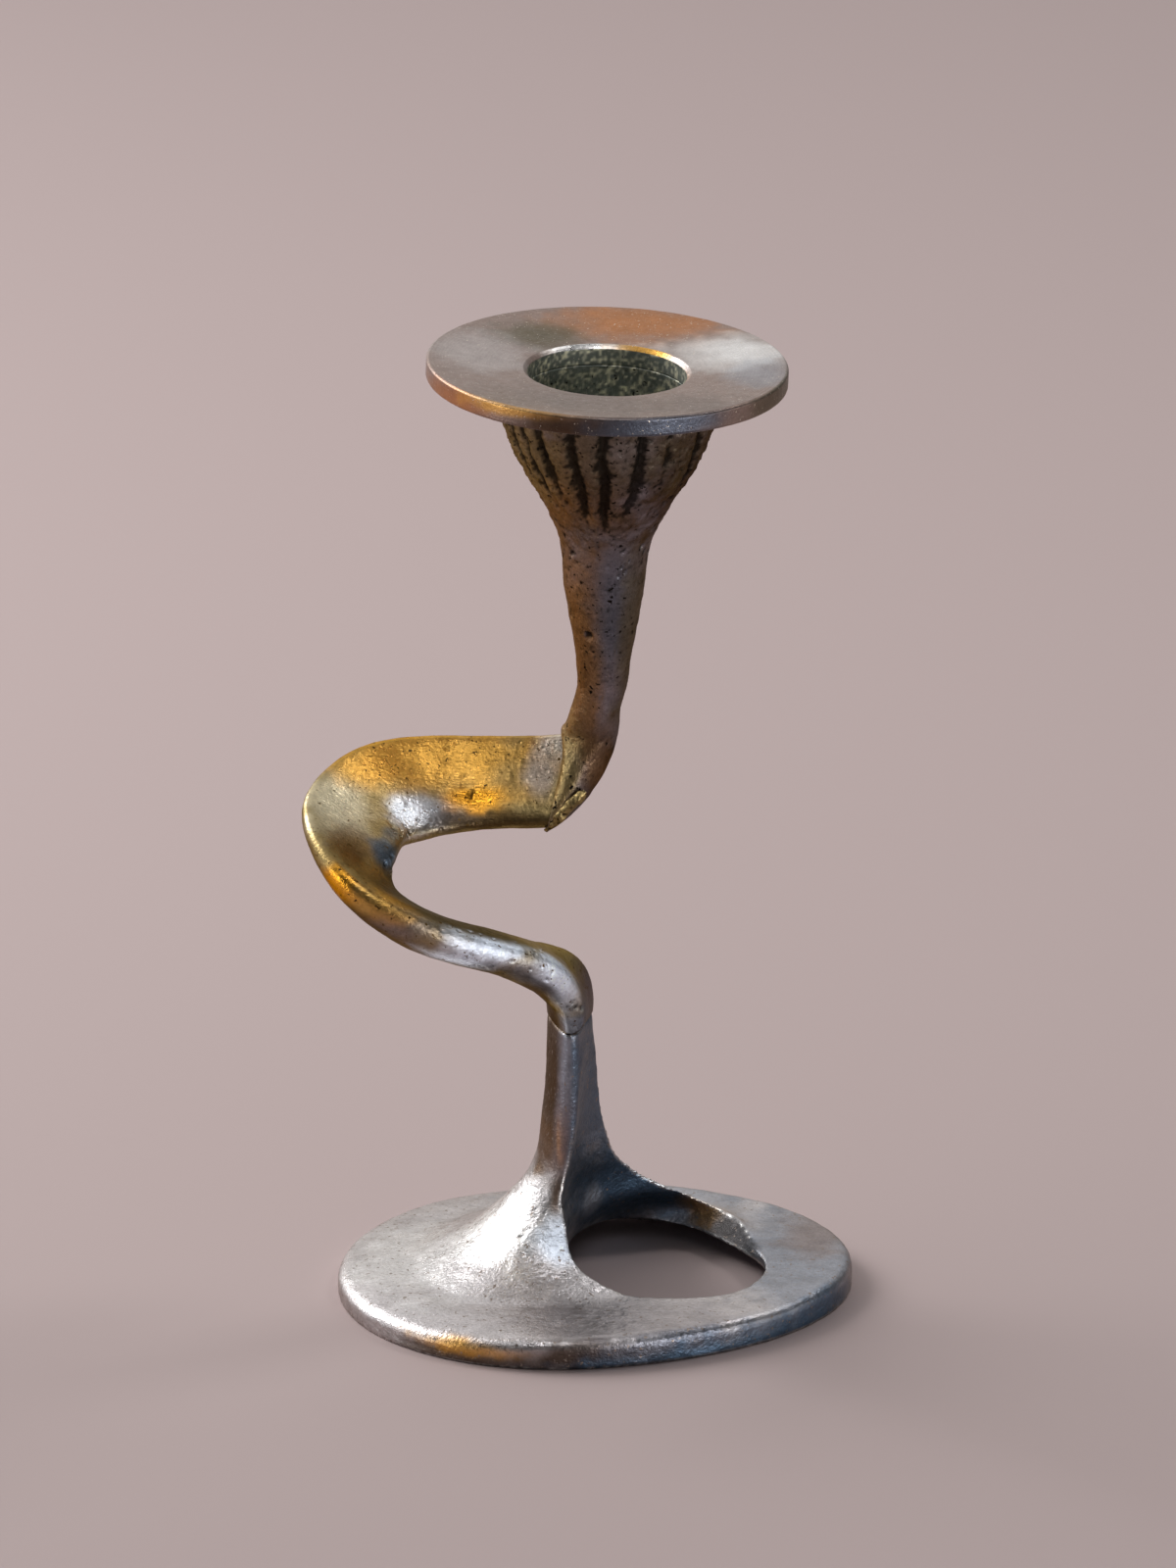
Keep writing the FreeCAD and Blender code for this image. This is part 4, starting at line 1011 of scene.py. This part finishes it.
baseLook = {
    "seed": 53, "ground": "pewter", "rubbed": (0.36, 0.66), "dirt": (0.22, 0.42),
    "seams": ((arm["post"], 8.5),),
    "dents": ((9.0, 0.12), (3.0, 0.07), (1.2, 0.03)),
    # relief comes in between these heights, and goes below the last height where a surface faces down
    "rimFade": (0.4, 1.6), "facingDown": (0.7, 0.95), "hollowTop": 4.0,
    "pits": (
        ((-5, -9, 11), 7, 80, 0.55, 0.10), ((4, -20, 4.7), 9, 110, 0.55, 0.11),
        ((8, 16, 9), 7, 24, 0.5, 0.12), ((-5, 0, 28), 16, 60, 0.40, 0.14),
        ((0, 0, 4.7), 42, 70, 0.40, 0.12), ((-20, -8, 5), 12, 60, 0.6, 0.07),
    ),
    "patches": (
        # painted highlights: the silver on the foot's left flank and on the plate's left rim
        ("silver", 0.9, (-13, 0, 10), (10, 10, 8)), ("silver", 0.7, (-26, 2, 4.7), (12, 16, 3)),
        # the dark brown on the post's left side is painted shade, the thin amber line on its front edge a
        # painted glint, and its blue-grey front painted reflection
        ("bark", 0.98, (-6.5, 1, 34), (5, 12, 15), (-1, -0.2, 0)),
        ("umber", 0.8, (-6.5, 0, 24.5), (4, 6, 4), (-1, -0.3, 0)),
        ("amberGlint", 0.95, (-4.8, -3.5, 25.5), (0.8, 1.6, 4), (-0.7, -0.7, 0)),
        ("slate", 0.98, (-3.3, -4.2, 28), (3, 3.5, 13), (0.1, -1, 0)),
        ("lead", 0.95, (-3.3, -4.2, 39), (2.6, 3.5, 8), (0.1, -1, 0)),
        ("olive", 0.6, (-4, 8, 40), (8, 6, 9), (-0.3, 1, 0)),
        # the pale blue-white on the foot's front is a painted highlight
        ("umber", 0.85, (-5.2, -5, 16.5), (1.5, 3, 4.5)), ("highlightFrost", 0.9, (-4.8, -8.5, 11), (4, 4, 4)),
        # painted shade: the dark brown and dark blue on the post's right side, in the scoop and under the
        # wing, with a small blue painted highlight in the scoop
        ("bark", 0.5, (1, 4, 34), (9, 12, 14), (1, -0.3, -0.1)),
        ("night", 0.85, (1, 4, 30), (9, 12, 24), (1, -0.3, -0.1)),
        ("night", 0.98, (5, 14, 12), (14, 12, 10), (0.4, -1, -0.2)),
        ("night", 0.95, (12, 18, 7), (12, 10, 7), (0, -0.8, -0.6)),
        ("steel", 0.7, (-0.5, 12.5, 9.5), (1.5, 3, 3), (0.7, -0.7, 0)),
        ("lead", 0.85, (31, 3, 4.7), (13, 24, 3)), ("plum", 0.6, (33, 12, 4.7), (5, 9, 3)),
        ("lead", 0.6, (12, 30, 4.7), (20, 8, 3)), ("slate", 0.4, (6, -24, 4.7), (20, 8, 3)),
        # painted shade: the near black on the wing's inner right face
        ("char", 0.88, (21, 12, 4.4), (7, 12, 4), (-0.8, -0.5, 0.2)),
        ("gold", 0.45, (16, 19, 6.5), (4, 4, 2.5)),
        # the rim painted darker towards its bottom and to the right as painted shade, with slate blue at
        # the front right as painted reflection
        ("bark", 0.9, (-20, -28, 0.8), (17, 9, 1.8), (-0.5, -0.9, 0)),
        ("gold", 0.8, (-18, -28, 2.4), (10, 7, 1.2), (-0.4, -0.9, 0)),
        ("bark", 0.9, (-2, -31.5, 1.8), (9, 6, 2.8), (-0.1, -1, 0)),
        ("slateBlue", 0.85, (14, -29, 2), (14, 9, 2.8), (0.3, -1, 0)),
        ("night", 0.85, (20, -26, 0.4), (26, 20, 1.5), (0.5, -0.9, 0)),
        ("night", 0.8, (25, -21, 1.8), (9, 8, 2.8), (0.5, -0.8, 0)),
        ("night", 0.9, (34, -12, 1.8), (12, 14, 2.8), (0.8, -0.5, 0)),
    ),
}


def baseLooseness(points, normals):
    # full relief above, none on the standing rim and in the hollow underneath
    down = easeIn(-normals[:, 2], *baseLook["facingDown"]) * (points[:, 2] < baseLook["hollowTop"])
    return easeIn(points[:, 2], *baseLook["rimFade"]) * (1 - down)


def wornRim(points):
    # the plate is worn thinner towards the rim on the left: heights shrink by depth / thickness times
    # tt, with t running from 0 to 1 over the last part of the oval's reach
    right, rear, bearing, *reaches = base["oval"]
    x, y = points[:, 0] - base["width"] * right, points[:, 1] - base["width"] * rear
    reach = base["width"] * ovalReach(np.arctan2(y, x) - np.radians(bearing), reaches)
    t = np.clip((np.hypot(x, y) / reach - base["wornFrom"]) / (1 - base["wornFrom"]), 0, 1)
    return 1 - base["worn"] / base["thick"] * t * t * easeIn(base["wornLean"] * y - x, *base["wornSide"])


baseMesh = baseMeshFrom()
filleted(baseMesh, base["fillet"])
finishCasting(baseMesh, "base_casting", baseLook, looseness=baseLooseness, wear=wornRim)
# brushed and worn by standing about: silvery, with short marks across the plate
addPiece("footedBase", baseMesh, "base_casting", castBronze("brushedCastBronze", {
    "edgeTint": "#d6cec5", "mottle": (3.0, 0.14), "grain": (0.45, 0.13), "specks": ("#8c8078", 0.8, 0.2),
    "drawnOut": (0.2, 1.0, 1.0), "markWidth": 0.4, "markShare": 0.6, "depth": 0.04,
}))


# Braze bead under the knee

bead = {
    "radius": 1.0,
    # place from the knee in ribbon widths, and share of the radius
    "rows": (
        (0.258, -0.380, 0.054, 0.50), (0.201, -0.380, -0.006, 0.95), (0.136, -0.380, -0.076, 1.10),
        (0.070, -0.374, -0.148, 1.00), (-0.015, -0.355, -0.245, 0.95), (-0.100, -0.330, -0.345, 0.75),
        (-0.137, -0.306, -0.395, 0.45),
    ),
    "alongCount": 60, "aroundCount": 32,
}
beadLook = {
    "seed": 71, "ground": "olive", "rubbed": (0.9, 2.0), "rubStrength": 0.3, "dirt": (0.2, 0.5),
    "dents": ((1.8, 0.30), (0.8, 0.20)), "pits": (((-4.0, 7.5, 73.0), 5.0, 14, 0.5, 0.25),),
    "settle": 0.2, "patches": (("umber", 0.6, (-6.5, 8.0, 71.0), (2, 2, 2)),),
}


def beadGrid():
    # round rings along the lower edge of the joint, joined by one skin
    rows = np.array(bead["rows"])
    centres = kneePlace + rows[:, :3] * arm["width"]
    along = pathDirections(centres)
    edge = edgeDirection(along, 90, 0)
    width = 2 * bead["radius"] * rows[:, 3]
    return skinGrid(barRings(centres, along, edge, width, width), bead["alongCount"], bead["aroundCount"])


beadMesh = meshFromGrid("brazeBead", beadGrid())
finishCasting(beadMesh, "knee_braze", beadLook)
# braze that ran and froze: lumpy, yellower than the castings and dull between its high spots
addPiece("brazeBead", beadMesh, "knee_braze", castBronze("meltedBraze", {
    "edgeTint": "#b0a596", "mottle": (1.2, 0.25), "grain": (0.4, 0.2), "specks": ("#33261a", 0.6, 0.5),
    "drawnOut": (1.0, 1.0, 1.0), "markWidth": 0.4, "markShare": 0.5, "depth": 0.05,
}))


# Dowels keep the frame's meshes

dowel = {"tone": "#b4b3b0", "markWidth": 0.4, "rough": (0.26, 0.40)}


def groundSteel():
    # drawn steel, ground round: a plain grey gloss, broken by marks really about 0.05 mm wide and drawn
    # at 0.4 mm so that they show
    material = bpy.data.materials.new("groundSteel")
    tree = bareTree(material)
    place = addNode(tree, "TexCoord").outputs["Object"]
    marks = addNode(tree, "TexNoise", None, {
        "Vector": place, "Scale": 1 / (dowel["markWidth"] * millimetre),
    })
    rough = addNode(tree, "MapRange", None, {
        "Value": marks.outputs["Fac"], "To Min": dowel["rough"][0], "To Max": dowel["rough"][1],
    })
    return surfaced(material, tree, {
        "Base Color": opaque(dowel["tone"]), "Metallic": 1.0, "Roughness": rough.outputs["Result"],
    })


dowelSteel = groundSteel()
for node in ("elbow_dowel", "knee_dowel"):
    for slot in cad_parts[node].material_slots:
        slot.material = dowelSteel
print("dowels made")


# Studio

studio = {
    "floor": "#bfacaa", "floorRough": 0.9, "floorReach": 4.0,
    # the world's bright side, its levels, and how far towards that side they run
    "bright": (-0.50, 0.74, 0.42), "worldLow": 0.06, "worldHigh": 1.15, "worldRun": 0.95,
    "camera": (-0.000948, -2.370, 0.915591), "aim": (-0.000948, 0.0, 0.080071), "lens": 391.96,
    # place, width and power
    "lamps": {
        "windowLamp": ((-0.70, 0.42, 0.58), 0.55, 6.5), "sideLamp": ((0.50, 0.23, 0.76), 0.20, 1.0),
    },
    "cards": {
        "skyCard": ((0.08, -0.42, 0.82), 0.42, 1.8), "frontCard": ((0.62, -0.70, 0.08), 0.45, 4.4),
        "rightCard": ((0.90, -0.06, 0.17), 0.30, 0.5), "leftCard": ((-0.88, -0.32, 0.12), 0.35, 1.2),
    },
}


def makeFloor():
    mesh = bpy.data.meshes.new("studioFloor")
    r = studio["floorReach"]
    mesh.from_pydata([(-r, -r, 0), (r, -r, 0), (r, r, 0), (-r, r, 0)], [], [(0, 1, 2, 3)])
    # matte paper: one even tone without gloss
    paper = bpy.data.materials.new("matteBackdropPaper")
    surfaced(paper, bareTree(paper), {
        "Base Color": opaque(studio["floor"]), "Roughness": studio["floorRough"],
    })
    mesh.materials.append(paper)
    linked(bpy.data.objects.new("studioFloor", mesh))


def aimed(name, data, place):
    # an object at the place, turned to look at the studio's aim
    made = linked(bpy.data.objects.new(name, data))
    made.location = place
    made.rotation_euler = (Vector(studio["aim"]) - Vector(place)).to_track_quat("-Z", "Y").to_euler()
    return made


def makeLamp(name, place, width, power):
    data = bpy.data.lights.new(name, "AREA")
    data.shape, data.size, data.energy = "SQUARE", width, power
    return aimed(name, data, place)


def makeWorld():
    # the strength eases from low to high with the cosine between a direction and the bright side
    world = bpy.data.worlds.new("softStudio")
    tree = bareTree(world)
    place = addNode(tree, "TexCoord")
    facing = addNode(tree, "VectorMath", {"operation": "DOT_PRODUCT"}, {
        0: place.outputs["Generated"], 1: tuple(unit(np.array(studio["bright"]))),
    })
    level = addNode(tree, "MapRange", {"interpolation_type": "SMOOTHSTEP"}, {
        "Value": facing.outputs["Value"], "From Min": 0.0, "From Max": studio["worldRun"],
        "To Min": studio["worldLow"], "To Max": studio["worldHigh"],
    })
    sky = addNode(tree, "Background", None, {"Strength": level.outputs["Result"]})
    addNode(tree, "OutputWorld", None, {"Surface": sky.outputs["Background"]})
    bpy.context.scene.world = world


def makeCamera():
    data = bpy.data.cameras.new("studyCamera")
    data.lens, data.sensor_width, data.clip_end = studio["lens"], 36.0, 50.0
    bpy.context.scene.camera = aimed("studyCamera", data, studio["camera"])


makeFloor()
makeWorld()
for name, settings in studio["lamps"].items():
    makeLamp(name, *settings)
for name, settings in studio["cards"].items():
    # a card is only seen in the gloss of the metal, as a small one held close by would be
    makeLamp(name, *settings).visible_diffuse = False
makeCamera()
bpy.context.scene.view_settings.view_transform = "Standard"
print("studio made")
